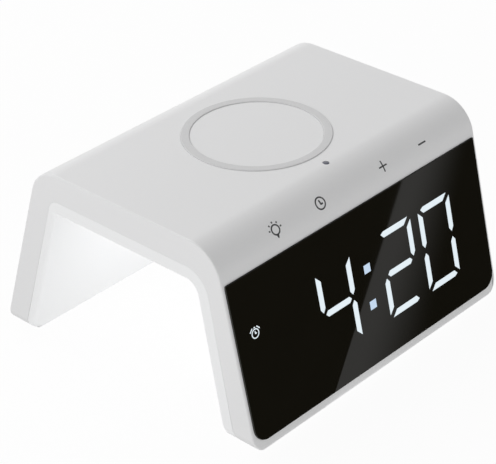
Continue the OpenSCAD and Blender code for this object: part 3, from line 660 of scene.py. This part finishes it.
def join_forms(forms: list[Form], name: str) -> Form:
    """Joins several forms into one.

    Args:
        forms: the objects.
        name: name of the joined object.

    Returns:
        The joined object.
    """
    take(forms[0])
    for form in forms:
        form.select_set(True)
    if len(forms) > 1:
        bpy.ops.object.join()
    return name_form(forms[0], name)


def thicken(form: Form, thickness: float) -> Form:
    """Gives a flat form a thickness along its normals."""
    return modify(form, "SOLIDIFY", thickness=thickness, offset=1)


@dataclass
class Shells:
    """Both shells of the case, with the rounded edges of the mouldings.

    Attributes:
        end_round: rounding of the outer shell's ends.
        arch_round: rounding of the arch's ends at the platform and the front leg.
        leg_round: rounding of the arch's ends at the rear leg.
        seam_round: rounding of both lips of the seam.
        seam_close: how far the inner shell's lip is brought out to the outer shell.
        end_wall: thickness of the case's ends, in which the lip lies.
        outer_flats: how many flats a rounding of the outer shell is made of.
        inner_flats: how many flats a rounding of the inner shell is made of.
        rim_round: rounding of the rim round the window.
        hole_round: rounding of the holes under the platform.
        window_side: half the length of the window's recess.
        window_low: lower edge of the recess, up the front leg.
        window_high: upper edge of the recess.
        corner_round: radius of the lower corners of both legs.
        steepest: how far the normal of a leg's flat face points up or down; a toe's points further.
        widening: height under the platform over which the arch's rounding widens.
        rim_reach: largest distance of an edge of the window's rim from the rim's line.
        on_face: largest distance from a face at which an edge is on it.
        socket_side: half a length along the clock that holds the socket's mouth.
        straight: how little the normal of a lip's face points along the clock.
        hole_inset: least distance of a hole under the platform from an end.
    """

    end_round: float = 0.5 * MM
    arch_round: float = 0.8 * MM
    leg_round: float = 1.5 * MM
    seam_round: float = 0.03 * MM
    seam_close: float = 0.09 * MM
    end_wall: float = 2.2 * MM
    outer_flats: int = 4
    inner_flats: int = 5
    rim_round: float = 0.12 * MM
    hole_round: float = 0.15 * MM
    window_side: float = 56.4 * MM
    window_low: float = 3.6 * MM
    window_high: float = 54.5 * MM
    corner_round: float = 6 * MM
    steepest: float = 0.35
    widening: float = 1 * MM
    rim_reach: float = 0.3 * MM
    on_face: float = 0.05 * MM
    socket_side: float = 6 * MM
    straight: float = 0.01
    hole_inset: float = 2 * MM

    def at_end(self, edge: Edge) -> bool:
        """Tells whether an edge bounds an end of the case or a rounded lower corner.

        Args:
            edge: the edge.

        Returns:
            Whether it does.
        """
        across = abs(edge.middle.x) - (HALF_LENGTH - self.corner_round)
        below = max(0, FRONT_TOE.z + self.corner_round - edge.middle.z)
        off = math.hypot(across, below) - self.corner_round
        return across > 0 and abs(off) < self.on_face and sharp(edge)

    def on_toe(self, edge: Edge) -> bool:
        """Tells whether the face beside an end belongs to the rounding of a toe."""
        return edge.middle.z < FRONT_TOE.z + self.corner_round and abs(edge.end_side().z) > self.steepest

    @staticmethod
    def faces_out(edge: Edge) -> bool:
        """Tells whether the face beside an end points away from the arch."""
        return edge.end_side().yz.dot(edge.middle.yz) > 0

    def on_window_rim(self, edge: Edge) -> bool:
        """Tells whether an edge is on the rim of the window's recess.

        Args:
            edge: the edge.

        Returns:
            Whether it is.
        """
        way = edge.middle - FRONT_TOE
        up = way.y * math.sin(FRONT_LEAN) + way.z * math.cos(FRONT_LEAN)
        out = -way.y * math.cos(FRONT_LEAN) + way.z * math.sin(FRONT_LEAN)
        side, reach = abs(edge.middle.x), self.rim_reach
        beside = abs(side - self.window_side) < reach and self.window_low < up < self.window_high
        across = min(abs(up - self.window_low), abs(up - self.window_high)) < reach
        corner = side > self.window_side - self.corner_round and up < self.window_low + self.corner_round
        inside = side < self.window_side + reach and up > self.window_low - reach
        return abs(out) < self.on_face and sharp(edge) and inside and (beside or across or corner)

    def on_socket_mouth(self, edge: Edge) -> bool:
        """Tells whether an edge is on the mouth of the power socket's opening.

        Args:
            edge: the edge.

        Returns:
            Whether it is.
        """
        way = edge.middle - REAR_TOE
        out = way.y * math.cos(REAR_LEAN) + way.z * math.sin(REAR_LEAN)
        return abs(out) < self.on_face and sharp(edge) and abs(edge.middle.x) < self.socket_side

    def on_underside(self, edge: Edge) -> bool:
        """Tells whether an edge is on the rim of a hole under the platform."""
        inside = abs(edge.middle.x) < HALF_LENGTH - self.hole_inset
        return abs(edge.middle.z - UNDERSIDE) < NEAR and sharp(edge) and inside

    def close_seam(self, form: Form) -> None:
        """Brings the lip of the inner shell's ends out to the outer shell.

        Args:
            form: the inner shell.
        """
        inside = HALF_LENGTH - self.end_wall - NEAR
        moves: dict[int, Vector] = {}
        for face in form.data.polygons:
            out = face.normal.yz.dot(face.center.yz) > 0
            if out and abs(face.normal.x) < self.straight and abs(face.center.x) > inside:
                for k in face.vertices:
                    moves[k] = moves.get(k, Vector()) + face.normal
        for k, way in moves.items():
            form.data.vertices[k].co += way.normalized() * self.seam_close

    def outer_width(self, edge: Edge) -> float:
        """Gives the rounding of an edge of the outer shell.

        Args:
            edge: the edge.

        Returns:
            The width of its rounding.
        """
        if self.on_window_rim(edge) or self.on_socket_mouth(edge):
            return self.rim_round
        if not self.at_end(edge):
            return 0
        return self.end_round if self.faces_out(edge) else self.seam_round

    def inner_width(self, edge: Edge) -> float:
        """Gives the rounding of an edge of the inner shell.

        Args:
            edge: the edge.

        Returns:
            The width of its rounding, which is wider at the rear leg.
        """
        if self.on_underside(edge):
            return self.hole_round
        if not self.at_end(edge) or self.on_toe(edge):
            return 0
        if self.faces_out(edge):
            return self.seam_round
        wide = min(1, max(0, UNDERSIDE - edge.middle.z) / self.widening) if edge.middle.y > 0 else 0
        return self.arch_round + wide * (self.leg_round - self.arch_round)

    def build(self) -> list[Piece]:
        """Builds both shells.

        Returns:
            The outer and the inner shell.
        """
        outer = node_copy("outer_shell", "outer_shell_moulding")
        round_by(outer, self.outer_width, self.outer_flats)
        inner = node_copy("inner_shell", "inner_shell_moulding")
        self.close_seam(inner)
        round_by(inner, self.inner_width, self.inner_flats)
        return [
            Piece(smooth(dress(outer, WHITE_SHELL)), "shell_white", replaces=("outer_shell",)),
            Piece(smooth(dress(inner, WHITE_LINER)), "liner_white", replaces=("inner_shell",)),
        ]


@dataclass
class Display:
    """The black window and what is lit on it.

    Attributes:
        length: length of the window.
        low: lower edge of the window, up the front leg.
        high: upper edge of the window.
        proud: how far its face stands out of the leg.
        thickness: its thickness.
        low_round: radius of both lower corners.
        high_round: radius of both upper corners.
        low_flats: how many flats a lower corner is made of.
        high_flats: how many flats an upper corner is made of.
        edge_round: rounding of its face's edges.
        film: thickness of the lit films on its face.
        colon_side: half the space between the digits in which the colon dots lie.
        side_turn: least part along the clock of the normal of a face that gets the lighter grey painted as
            the highlight of the window's edges.
    """

    length: float = 112.6 * MM
    low: float = 3.7 * MM
    high: float = 54.4039 * MM
    proud: float = 0.4 * MM
    thickness: float = 2 * MM
    low_round: float = 5 * MM
    high_round: float = 0.8 * MM
    low_flats: int = 14
    high_flats: int = 5
    edge_round: float = 0.5 * MM
    film: float = 0.03 * MM
    colon_side: float = 3 * MM
    side_turn: float = 0.3

    def frame(self) -> Matrix:
        """Gives the place of the front leg's face: X along, Y up the leg and Z out of it."""
        return Matrix.Translation(FRONT_TOE) @ Matrix.Rotation(math.pi / 2 - FRONT_LEAN, 4, "X")

    def window(self) -> Form:
        """Builds the window from a plate with rounded corners and edges, and paints the faces at its ends a
        lighter grey as the highlight of its edges.

        Returns:
            The window.
        """
        size = (self.length, self.high - self.low, self.thickness)
        middle = (self.low + self.high) / 2
        form = box_form("smoked_window", size, (0, middle, self.proud - self.thickness / 2))

        def at_corner(edge: Edge, low: bool) -> bool:
            """Tells whether an edge is at one of the plate's lower corners, or else upper corners."""
            return abs(edge.run.z) > ALONG and sharp(edge) and (edge.middle.y < middle) == low

        round_edges(form, lambda edge: at_corner(edge, True), self.low_round, self.low_flats)
        round_edges(form, lambda edge: at_corner(edge, False), self.high_round, self.high_flats)
        face = self.proud - NEAR
        round_edges(form, lambda edge: edge.middle.z > face and sharp(edge), self.edge_round)
        dress(form, BLACK_WINDOW)
        # Painted highlight: the faces at the window's ends take the lighter grey, as if their edges caught
        # the light.
        form.data.materials.append(PAINTED_EDGE_HIGHLIGHT.material())
        for side in form.data.polygons:
            side.material_index = int(abs(side.normal.x) > self.side_turn)
        return smooth(place(form, self.frame()))

    def lit_film(self, node: str, name: str, test: Callable[[Vector], bool]) -> Form:
        """Builds the lit shape of a node's front faces on the window's face.

        Args:
            node: name of the node whose front faces are taken.
            name: name of the film.
            test: told the centre of a face, says whether it belongs to the film.

        Returns:
            The film.
        """
        out = self.frame().to_3x3() @ Vector((0, 0, 1))
        form = node_copy(node, name)
        pick_faces(form, lambda centre, normal: normal.dot(out) < FACING or not test(centre))
        with editing(form, everything=False):
            bpy.ops.mesh.delete(type="FACE")
            bpy.ops.mesh.select_all(action="SELECT")
            bpy.ops.mesh.delete_loose()
        loose = max((v.co - FRONT_TOE).dot(out) for v in form.data.vertices)
        form.location = out * (self.proud - loose)
        return thicken(settle(form), self.film)

    def build(self) -> list[Piece]:
        """Builds the window, the digits, the colon and the alarm symbol.

        Returns:
            The pieces.
        """
        side = self.colon_side
        digits = self.lit_film("lit_segments", "lit_digits", lambda centre: abs(centre.x) > side)
        colon = self.lit_film("lit_segments", "lit_colon_dots", lambda centre: abs(centre.x) < side)
        symbol = self.lit_film("alarm_symbol", "lit_alarm_symbol", lambda centre: True)
        return [
            Piece(self.window(), "window_black", replaces=("display_window",)),
            Piece(dress(digits, LIT_DIGIT), "lens_lit"),
            Piece(dress(colon, LIT_COLON), "lens_lit"),
            Piece(dress(symbol, LIT_DIGIT), "lens_lit"),
        ]


@dataclass
class Stroke:
    """One printed stroke of a sign, with its sizes in millimetres.

    Attributes:
        start: one end, along the clock and up the curved edge.
        end: the other end.
        width: its width at the start.
        taper: its width at the end as a share of that at the start.
    """

    start: tuple[float, float]
    end: tuple[float, float]
    width: float
    taper: float = 1.0


@dataclass
class Sign:
    """One sign of the touch keys, with its sizes in millimetres.

    Attributes:
        name: name of the piece.
        along: its middle along the clock.
        ring: outer radius of its ring, or 0 for none.
        strokes: its strokes.
    """

    name: str
    along: float
    ring: float
    strokes: list[Stroke]


def ray(turn: float, inner: float = 2.05, outer: float = 2.6) -> Stroke:
    """Gives a ray of the lamp sign, at an angle in degrees."""
    way = Vector((math.cos(math.radians(turn)), math.sin(math.radians(turn))))
    return Stroke(tuple(way * inner), tuple(way * outer), 0.46)


RAY_TURNS = (8, 49, 90, 131, 172)
LAMP_FOOT = Stroke((0, -1.55), (0, -2.55), 0.95, 0.4)
LAMP_STROKES = [*map(ray, RAY_TURNS), LAMP_FOOT]
CLOCK_STROKES = [Stroke((0.05, -0.45), (-0.15, 1.05), 0.52), Stroke((-0.1, -0.3), (0.85, -0.3), 0.52)]
PLUS_STROKES = [Stroke((-1.75, 0), (1.75, 0), 0.46), Stroke((0, -1.8), (0, 1.8), 0.46)]
SIGNS = (
    Sign("lamp_sign", -32.17, 1.7, LAMP_STROKES),
    Sign("clock_sign", -12.83, 2.05, CLOCK_STROKES),
    Sign("plus_sign", 15.59, 0, PLUS_STROKES),
    Sign("minus_sign", 34.21, 0, [Stroke((-1.7, 0), (1.7, 0), 0.5)]),
)


@dataclass
class TouchKeys:
    """The signs of the four touch keys and the indicator in the curved edge.

    Attributes:
        centre: centre of the curved edge.
        radius: its radius.
        angle: angle of the signs above the horizontal.
        line: width of the line of a ring.
        ink: thickness of the print.
        lift: how far the print lies above the shell.
        start: height above the curve from which the print is laid down.
        cuts: cuts across each stroke, so that it follows the curve.
        corners: corners of a ring.
        pipe_round: rounding of the indicator's outer edge.
        pipe_reach: how far under the curve that edge can lie.
    """

    centre: Vector = field(default_factory=lambda: Vector((0, -30.1359, 52.8)) * MM)
    radius: float = 11.8 * MM
    angle: float = math.radians(37.3)
    line: float = 0.46 * MM
    ink: float = 0.02 * MM
    lift: float = 0.004 * MM
    start: float = 1 * MM
    cuts: int = 4
    corners: int = 48
    pipe_round: float = 0.12 * MM
    pipe_reach: float = 0.1 * MM

    def tangent_place(self, along: float, height: float) -> Matrix:
        """Gives a plane beside the curved edge at the signs.

        Args:
            along: its middle along the clock.
            height: its height above the edge.

        Returns:
            The place: X along the clock, Y up the curve and Z out of it.
        """
        spot = Matrix.Translation(self.centre + Vector((along, 0, 0)))
        lean = Matrix.Rotation(math.pi / 2 - self.angle, 4, "X")
        return spot @ lean @ Matrix.Translation((0, 0, self.radius + height))

    def ring(self, outer: float) -> Form:
        """Builds a flat ring.

        Args:
            outer: its outer radius.

        Returns:
            The ring.
        """
        add = bpy.ops.mesh.primitive_circle_add
        form = add_form("ring", add, vertices=self.corners, radius=outer, fill_type="NGON")
        pick_faces(form, lambda centre, normal: True)
        with editing(form, everything=False):
            bpy.ops.mesh.inset(thickness=self.line)
            bpy.ops.mesh.delete(type="FACE")
        return form

    def stroke(self, stroke: Stroke) -> Form:
        """Builds a flat stroke.

        Args:
            stroke: its ends and widths.

        Returns:
            The stroke.
        """
        start, end = Vector(stroke.start) * MM, Vector(stroke.end) * MM
        way = end - start
        form = add_form("stroke", bpy.ops.mesh.primitive_plane_add, size=1)
        for point in form.data.vertices:
            if point.co.x > 0:
                point.co.y *= stroke.taper
        form.scale = (way.length, stroke.width * MM, 1)
        settle(form)
        turn = Matrix.Rotation(math.atan2(way.y, way.x), 4, "Z")
        place(form, Matrix.Translation((*((start + end) / 2), 0)) @ turn)
        with editing(form):
            bpy.ops.mesh.subdivide(number_cuts=self.cuts)
        return form

    def print_sign(self, sign: Sign, shell: Form) -> Form:
        """Builds a sign and lays it on the curved edge.

        Args:
            sign: the sign.
            shell: the shell that it is printed on.

        Returns:
            The printed sign.
        """
        forms = [self.stroke(stroke) for stroke in sign.strokes]
        if sign.ring:
            forms.append(self.ring(sign.ring * MM))
        form = join_forms(forms, sign.name)
        form.matrix_world = self.tangent_place(sign.along * MM, self.start)
        down = {"wrap_method": "PROJECT", "use_project_z": True, "use_negative_direction": True}
        modify(form, "SHRINKWRAP", target=shell, use_positive_direction=False, offset=self.lift, **down)
        return dress(thicken(settle(form), self.ink), KEY_PRINT)

    def build(self, shell: Form) -> list[Piece]:
        """Builds the four signs and the indicator.

        Args:
            shell: the outer shell.

        Returns:
            The pieces.
        """
        pieces = [Piece(self.print_sign(sign, shell), "tape_black") for sign in SIGNS]
        pipe = node_copy("indicator_light_pipe", "indicator_lens")
        reach = self.radius - self.pipe_reach

        def on_curve(edge: Edge) -> bool:
            """Tells whether an edge is on the indicator's outer rim."""
            return (edge.middle - self.centre).length > reach and sharp(edge)

        round_edges(pipe, on_curve, self.pipe_round, SMALL_FLATS)
        dress(pipe, PIPE_GLAZE)
        return pieces + [Piece(smooth(pipe), "pipe_clear", replaces=("indicator_light_pipe",))]


@dataclass
class ChargingPlatform:
    """The silicone ring on the platform.

    Attributes:
        radius: its middle radius.
        width: its width.
        low: its lower face in the groove.
        high: its upper face.
        lip_round: rounding of its upper edges.
        lip_flats: how many flats that rounding is made of.
        steps: corners of the ring.
        soft_angle: edges that turn by more than this stay sharp, in degrees.
        join: distance under which points are joined.
    """

    radius: float = 21.7975 * MM
    width: float = 2.8 * MM
    low: float = 63.9 * MM
    high: float = 64.9 * MM
    lip_round: float = 0.28 * MM
    lip_flats: int = 4
    steps: int = 120
    soft_angle: float = 50
    join: float = 0.005 * MM

    def build(self) -> list[Piece]:
        """Builds the ring by spinning its section.

        Returns:
            The ring.
        """
        add = bpy.ops.mesh.primitive_plane_add
        form = add_form("grip_ring_silicone", add, size=1, rotation=(math.pi / 2, 0, 0))
        middle = (self.low + self.high) / 2
        form.scale = (self.width, self.high - self.low, 1)
        form.location = COIL_MIDDLE + Vector((self.radius, 0, middle))
        settle(form)
        for point in form.data.vertices:
            point.select = point.co.z > middle
        bpy.context.tool_settings.mesh_select_mode = (True, False, False)
        with editing(form, everything=False):
            bpy.ops.mesh.bevel(offset=self.lip_round, segments=self.lip_flats, affect="VERTICES")
            bpy.ops.mesh.select_all(action="SELECT")
            bpy.ops.mesh.delete(type="ONLY_FACE")
            bpy.ops.mesh.select_all(action="SELECT")
            bpy.ops.mesh.spin(steps=self.steps, angle=math.tau, center=COIL_MIDDLE, axis=(0, 0, 1))
            bpy.ops.mesh.select_all(action="SELECT")
            bpy.ops.mesh.remove_doubles(threshold=self.join)
            bpy.ops.mesh.normals_make_consistent(inside=False)
        smooth(dress(form, SILICONE), self.soft_angle)
        return [Piece(form, "silicone_white", replaces=("grip_ring",))]


@dataclass
class PowerSocket:
    """The power socket in the rear leg, with the contacts on its tongue.

    Attributes:
        mouth_round: rounding of the shell's mouth.
        tongue_round: rounding of the tongue.
        contact: width, length and thickness of a contact.
        pitch: distance between contacts.
        count: contacts on each side of the tongue.
        tongue_middle: middle height of the tongue.
        tongue_half: half its thickness.
        tip: rear end of the tongue.
        inset: distance of the contacts from that end.
        contact_round: rounding of the contacts' long edges.
        join: distance under which points are joined.
    """

    mouth_round: float = 0.1 * MM
    tongue_round: float = 0.12 * MM
    contact: tuple[float, float, float] = (0.28 * MM, 3.2 * MM, 0.04 * MM)
    pitch: float = 0.5 * MM
    count: int = 12
    tongue_middle: float = 54.6 * MM
    tongue_half: float = 0.35 * MM
    tip: float = 33.558 * MM
    inset: float = 0.4 * MM
    contact_round: float = 0.015 * MM
    join: float = 0.005 * MM

    def contacts(self) -> Form:
        """Builds the contacts of both sides of the tongue.

        Returns:
            The contacts.
        """
        strips = []
        for side in (-1, 1):
            for k in range(self.count):
                across = (k - (self.count - 1) / 2) * self.pitch
                height = self.tongue_middle + side * (self.tongue_half + self.contact[2] / 2)
                middle = (across, self.tip - self.inset - self.contact[1] / 2, height)
                strips.append(box_form(f"contact_{k}", self.contact, middle))
        form = join_forms(strips, "power_socket_contacts")
        round_edges(form, lambda edge: abs(edge.run.x) > ALONG, self.contact_round, CHAMFER_FLATS)
        return form

    def build(self) -> list[Piece]:
        """Builds the socket's shell, its tongue and the contacts.

        Returns:
            The pieces.
        """
        shell = node_copy("power_socket_shell", "power_socket_can", self.join)
        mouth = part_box("power_socket_shell")[1].y - NEAR
        round_edges(shell, lambda edge: edge.middle.y > mouth and sharp(edge), self.mouth_round, SMALL_FLATS)
        tongue = node_copy("power_socket_tongue", "power_socket_tongue_moulding", self.join)
        end = self.tip - NEAR
        round_edges(tongue, lambda edge: edge.middle.y > end and sharp(edge), self.tongue_round, SMALL_FLATS)
        contacts = self.contacts()
        return [
            Piece(smooth(dress(shell, SOCKET_STEEL)), "socket_steel", replaces=("power_socket_shell",)),
            Piece(smooth(dress(tongue, CHIP_EPOXY)), "chip_black", replaces=("power_socket_tongue",)),
            Piece(smooth(dress(contacts, GOLD_CONTACT)), "contact_gold"),
        ]


@dataclass
class BatteryCap:
    """The round cap that a coin turns.

    Attributes:
        rim_round: rounding of the cap's rim.
        slot_round: rounding of the coin slot.
        rim: least distance of the rim from the cap's middle.
        join: distance under which points are joined.
    """

    rim_round: float = 0.3 * MM
    slot_round: float = 0.15 * MM
    rim: float = 13.2 * MM
    join: float = 0.01 * MM

    def build(self) -> list[Piece]:
        """Builds the cap.

        Returns:
            The cap, which rides on its own body.
        """
        form = node_copy("battery_cap", "battery_cap_moulding", self.join)

        def on_rim(edge: Edge) -> bool:
            """Tells whether an edge is on the rim of the cap's outer face."""
            return (edge.middle.xy - CAP_MIDDLE.xy).length > self.rim

        def on_face(edge: Edge) -> bool:
            """Tells whether a sharp edge is in the cap's outer face."""
            return abs(edge.middle.z - CAP_MIDDLE.z) < NEAR and sharp(edge)

        round_edges(form, lambda edge: on_face(edge) and not on_rim(edge), self.slot_round, SMALL_FLATS)
        round_edges(form, lambda edge: on_face(edge) and on_rim(edge), self.rim_round)
        return [Piece(smooth(dress(form, WHITE_CAP)), "cap_white", Body.CAP, ("battery_cap",))]


@dataclass
class Fastenings:
    """The case screws in the arch and the rubber feet.

    Attributes:
        head_round: rounding of the screw heads.
        foot_round: rounding of the feet.
        head: least distance of a head's rim from the screw's middle.
        across: distance of the screws from the clock's middle.
        along: their places from front to back.
        down: how far the normals beside the rim point down together.
        join: distance under which points are joined.
    """

    head_round: float = 0.2 * MM
    foot_round: float = 0.2 * MM
    head: float = 1.9 * MM
    across: float = 50.9 * MM
    along: tuple[float, float] = (-24.6959 * MM, 24.4592 * MM)
    down: float = 0.2
    join: float = 0.01 * MM

    def build(self) -> list[Piece]:
        """Builds the screws and the feet.

        Returns:
            The pieces.
        """
        screws = node_copy("case_screws", "case_screws_zinc", self.join)
        spots = [Vector((side * self.across, y)) for side in (-1, 1) for y in self.along]

        def on_head(edge: Edge) -> bool:
            """Tells whether an edge is on the outer rim of a screw's head."""
            reach = min((edge.middle.xy - spot).length for spot in spots)
            return sharp(edge) and reach > self.head and edge.sides[0].z + edge.sides[1].z < -self.down

        round_edges(screws, on_head, self.head_round)
        feet = node_copy("rubber_feet", "rubber_feet_pads")
        round_edges(feet, lambda edge: edge.middle.z < NEAR and sharp(edge), self.foot_round, SMALL_FLATS)
        return [
            Piece(smooth(dress(screws, ZINC_SCREW)), "screw_steel", replaces=("case_screws",)),
            Piece(smooth(dress(feet, GREY_RUBBER)), "foot_grey", replaces=("rubber_feet",)),
        ]


@dataclass
class Camera:
    """The camera at the photograph's viewpoint.

    Attributes:
        azimuth: turn from the front, in degrees.
        elevation: height above the horizontal, in degrees.
        roll: roll, in degrees.
        lens: focal length.
        aim: how far the camera stands to the right of, above and away from the clock's middle.
        sensor: width of the picture on the sensor, in millimetres.
        near: distance from which the camera sees.
    """

    azimuth: float = -46.417
    elevation: float = 31.516
    roll: float = -1.595
    lens: float = 141.237
    aim: tuple[float, float, float] = (-2.06 * MM, 24.2 * MM, 625.35 * MM)
    sensor: float = 36
    near: float = 0.01

    def build(self) -> None:
        """Places the camera."""
        turn, rise, roll = (math.radians(v) for v in (self.azimuth, self.elevation, self.roll))
        back = Vector((math.sin(turn) * math.cos(rise), -math.cos(turn) * math.cos(rise), math.sin(rise)))
        right = Vector((0, 0, 1)).cross(back).normalized()
        up = back.cross(right)
        rolled_right = right * math.cos(roll) + up * math.sin(roll)
        rolled_up = up * math.cos(roll) - right * math.sin(roll)
        spot = rolled_right * self.aim[0] + rolled_up * self.aim[1] + back * self.aim[2]
        lens = bpy.data.cameras.new("camera")
        lens.lens = self.lens
        lens.sensor_width = self.sensor
        lens.clip_start = self.near
        camera = bpy.data.objects.new("camera", lens)
        bpy.context.scene.collection.objects.link(camera)
        turned = Matrix((rolled_right, rolled_up, back)).transposed().to_4x4()
        camera.matrix_world = Matrix.Translation(spot) @ turned
        bpy.context.scene.camera = camera


@dataclass(frozen=True)
class Softbox:
    """A square soft light.

    Attributes:
        name: its name.
        place: where it stands.
        aim: what it points at.
        size: its side.
        power: its power in watts.
        seen: whether mirrors show it.
    """

    name: str
    place: tuple[float, float, float]
    aim: tuple[float, float, float]
    size: float
    power: float
    seen: bool = True


@dataclass
class Studio:
    """The pale floor, the lights and the world.

    Attributes:
        sky: strength of the even light from all round.
        floor_size: side of the floor.
        floor_grey: screen colour of the floor.
        floor_rough: roughness of the floor.
        floor_white: share of plain white in the floor as the camera sees it. The rest takes shadows.
        floor_glow: share of plain white in the floor's light on the clock, as on a light table.
        lights: the soft lights.
        mirror_seam: both ends of the line at which the window's reflection turns dark.
        card_size: length and width of the card that the window mirrors.
        card_middle: its middle, from the seam's end.
        card_height: its height above the floor.
        card_fade: distances from the seam at which its grey starts and ends to fade.
        card_grey: strength of its grey at the seam.
    """

    sky: float = 0.4
    floor_size: float = 6.0
    floor_grey: Rgb = (244, 244, 244)
    floor_rough: float = 0.9
    floor_white: float = 0.95
    floor_glow: float = 0.9
    lights: tuple[Softbox, ...] = (
        Softbox("side_light", (-1.2, 0.1, 0.5), (0, 0, 0.03), 1.0, 3.3),
        Softbox("back_light", (0.1, 0.9, 1.0), (0, 0, 0.05), 1.0, 7.8),
        Softbox("arch_light", (-0.01, -0.022, 0.022), (-0.01, 0.04, 0.026), 0.04, 0.009, seen=False),
    )
    mirror_seam: tuple[Place, Place] = ((-0.0147, -0.0615), (0.1731, -0.1988))
    card_size: Place = (0.9, 0.8)
    card_middle: Place = (0.25, -0.1)
    card_height: float = 0.001
    card_fade: Place = (0.004, 0.028)
    card_grey: float = 0.71

    def world(self) -> None:
        """Makes the world white for the camera and for mirrors, and an even light for all else."""
        world = bpy.data.worlds.new("studio")
        bpy.context.scene.world = world
        world.use_nodes = True
        tree = world.node_tree
        strength = self.when_seen(tree, self.sky, 1)
        plug(tree, tree.nodes["Background"], {"Color": (1, 1, 1, 1), "Strength": strength})

    @staticmethod
    def when_seen(tree: Tree, hidden: float, shown: float) -> bpy.types.NodeSocket:
        """Adds nodes that tell rays from the camera, mirrors and glass from all others.

        Args:
            tree: the nodes to add to.
            hidden: the value for all other rays.
            shown: the value for those rays.

        Returns:
            The socket that gives the value.
        """
        path = add_node(tree, "LightPath", {})
        seen = path.outputs["Is Camera Ray"]
        for kind in ("Is Glossy Ray", "Is Transmission Ray"):
            inputs = {0: seen, 1: path.outputs[kind]}
            seen = add_node(tree, "Math", inputs, operation="MAXIMUM").outputs[0]
        return add_node(tree, "MapRange", {"Value": seen, "To Min": hidden, "To Max": shown}).outputs[0]

    def floor(self) -> None:
        """Lays the pale floor, which keeps a soft shadow and is clear from below."""
        form = add_form("floor", bpy.ops.mesh.primitive_plane_add, size=self.floor_size)
        material = new_material("pale_floor")
        tree = material.node_tree
        shader = tree.nodes["Principled BSDF"]
        matt = {"Roughness": self.floor_rough, "Specular IOR Level": 0}
        plug(tree, shader, matt | {"Base Color": linear(self.floor_grey)})
        shine = add_node(tree, "Emission", {"Strength": 1}).outputs[0]
        share = self.when_seen(tree, self.floor_glow, self.floor_white)
        lit = add_node(tree, "MixShader", {0: share, 1: shader.outputs[0], 2: shine}).outputs[0]
        below = add_node(tree, "NewGeometry", {}).outputs["Backfacing"]
        clear = add_node(tree, "BsdfTransparent", {}).outputs[0]
        surface = add_node(tree, "MixShader", {0: below, 1: lit, 2: clear}).outputs[0]
        plug(tree, tree.nodes["Material Output"], {"Surface": surface})
        form.data.materials.append(material)

    def mirror_card(self) -> None:
        """Lays the card that only mirrors see: black, then grey from the seam on."""
        a, b = (Vector(point) for point in self.mirror_seam)
        along = b - a
        form = add_form("mirror_card", bpy.ops.mesh.primitive_plane_add, size=1)
        form.scale = (*self.card_size, 1)
        form.location = (*self.card_middle, 0)
        settle(form)
        material = new_material("mirror_card")
        tree = material.node_tree
        tree.nodes.remove(tree.nodes["Principled BSDF"])
        spot = add_node(tree, "TexCoord", {}).outputs["Object"]
        off = add_node(tree, "SeparateXYZ", {"Vector": spot}).outputs["Y"]
        start, end = self.card_fade
        fade = {"Value": off, "From Min": start, "From Max": end, "To Min": self.card_grey, "To Max": 0}
        grey = add_node(tree, "MapRange", fade, interpolation_type="SMOOTHSTEP").outputs["Result"]
        beyond = add_node(tree, "Math", {0: off, 1: 0}, operation="GREATER_THAN").outputs[0]
        level = add_node(tree, "Math", {0: grey, 1: beyond}, operation="MULTIPLY").outputs[0]
        shine = add_node(tree, "Emission", {"Strength": level}).outputs[0]
        plug(tree, tree.nodes["Material Output"], {"Surface": shine})
        form.data.materials.append(material)
        turn = Matrix.Rotation(math.atan2(along.y, along.x), 4, "Z")
        form.matrix_world = Matrix.Translation((a.x, a.y, self.card_height)) @ turn
        for kind in ("camera", "diffuse", "transmission", "shadow", "volume_scatter"):
            setattr(form, f"visible_{kind}", False)

    def build(self) -> None:
        """Sets up the floor, the card, the world and the lights."""
        self.world()
        self.floor()
        self.mirror_card()
        for box in self.lights:
            lamp = bpy.data.lights.new(box.name, "AREA")
            lamp.size = box.size
            lamp.energy = box.power
            form = bpy.data.objects.new(box.name, lamp)
            bpy.context.scene.collection.objects.link(form)
            form.location = box.place
            form.visible_camera = form.visible_glossy = box.seen
            way = Vector(box.aim) - Vector(box.place)
            form.rotation_euler = way.to_track_quat("-Z", "Y").to_euler()
        bpy.context.scene.view_settings.view_transform = "Standard"


def report(pieces: list[Piece]) -> None:
    """Tells the frame about finished pieces, and logs them.

    Args:
        pieces: the pieces.
    """
    for piece in pieces:
        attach(piece.form, piece.body.value)
        if piece.replaces:
            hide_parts(*piece.replaces)
        LOG.info("%s: %d faces, on %s", piece.form.name, len(piece.form.data.polygons), piece.body.value)


def main() -> None:
    """Builds the clock's sub-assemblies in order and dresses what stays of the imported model."""
    logging.basicConfig(level=logging.INFO, format="%(name)s: %(message)s")
    Camera().build()
    for node, finish in NODE_FINISHES.items():
        dress(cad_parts[node], finish)
    shells = Shells().build()
    report(shells)
    report(Display().build())
    report(TouchKeys().build(shells[0].form))
    for assembly in (ChargingPlatform, PowerSocket, BatteryCap, Fastenings):
        report(assembly().build())
    Studio().build()


if __name__ == "__main__":
    main()
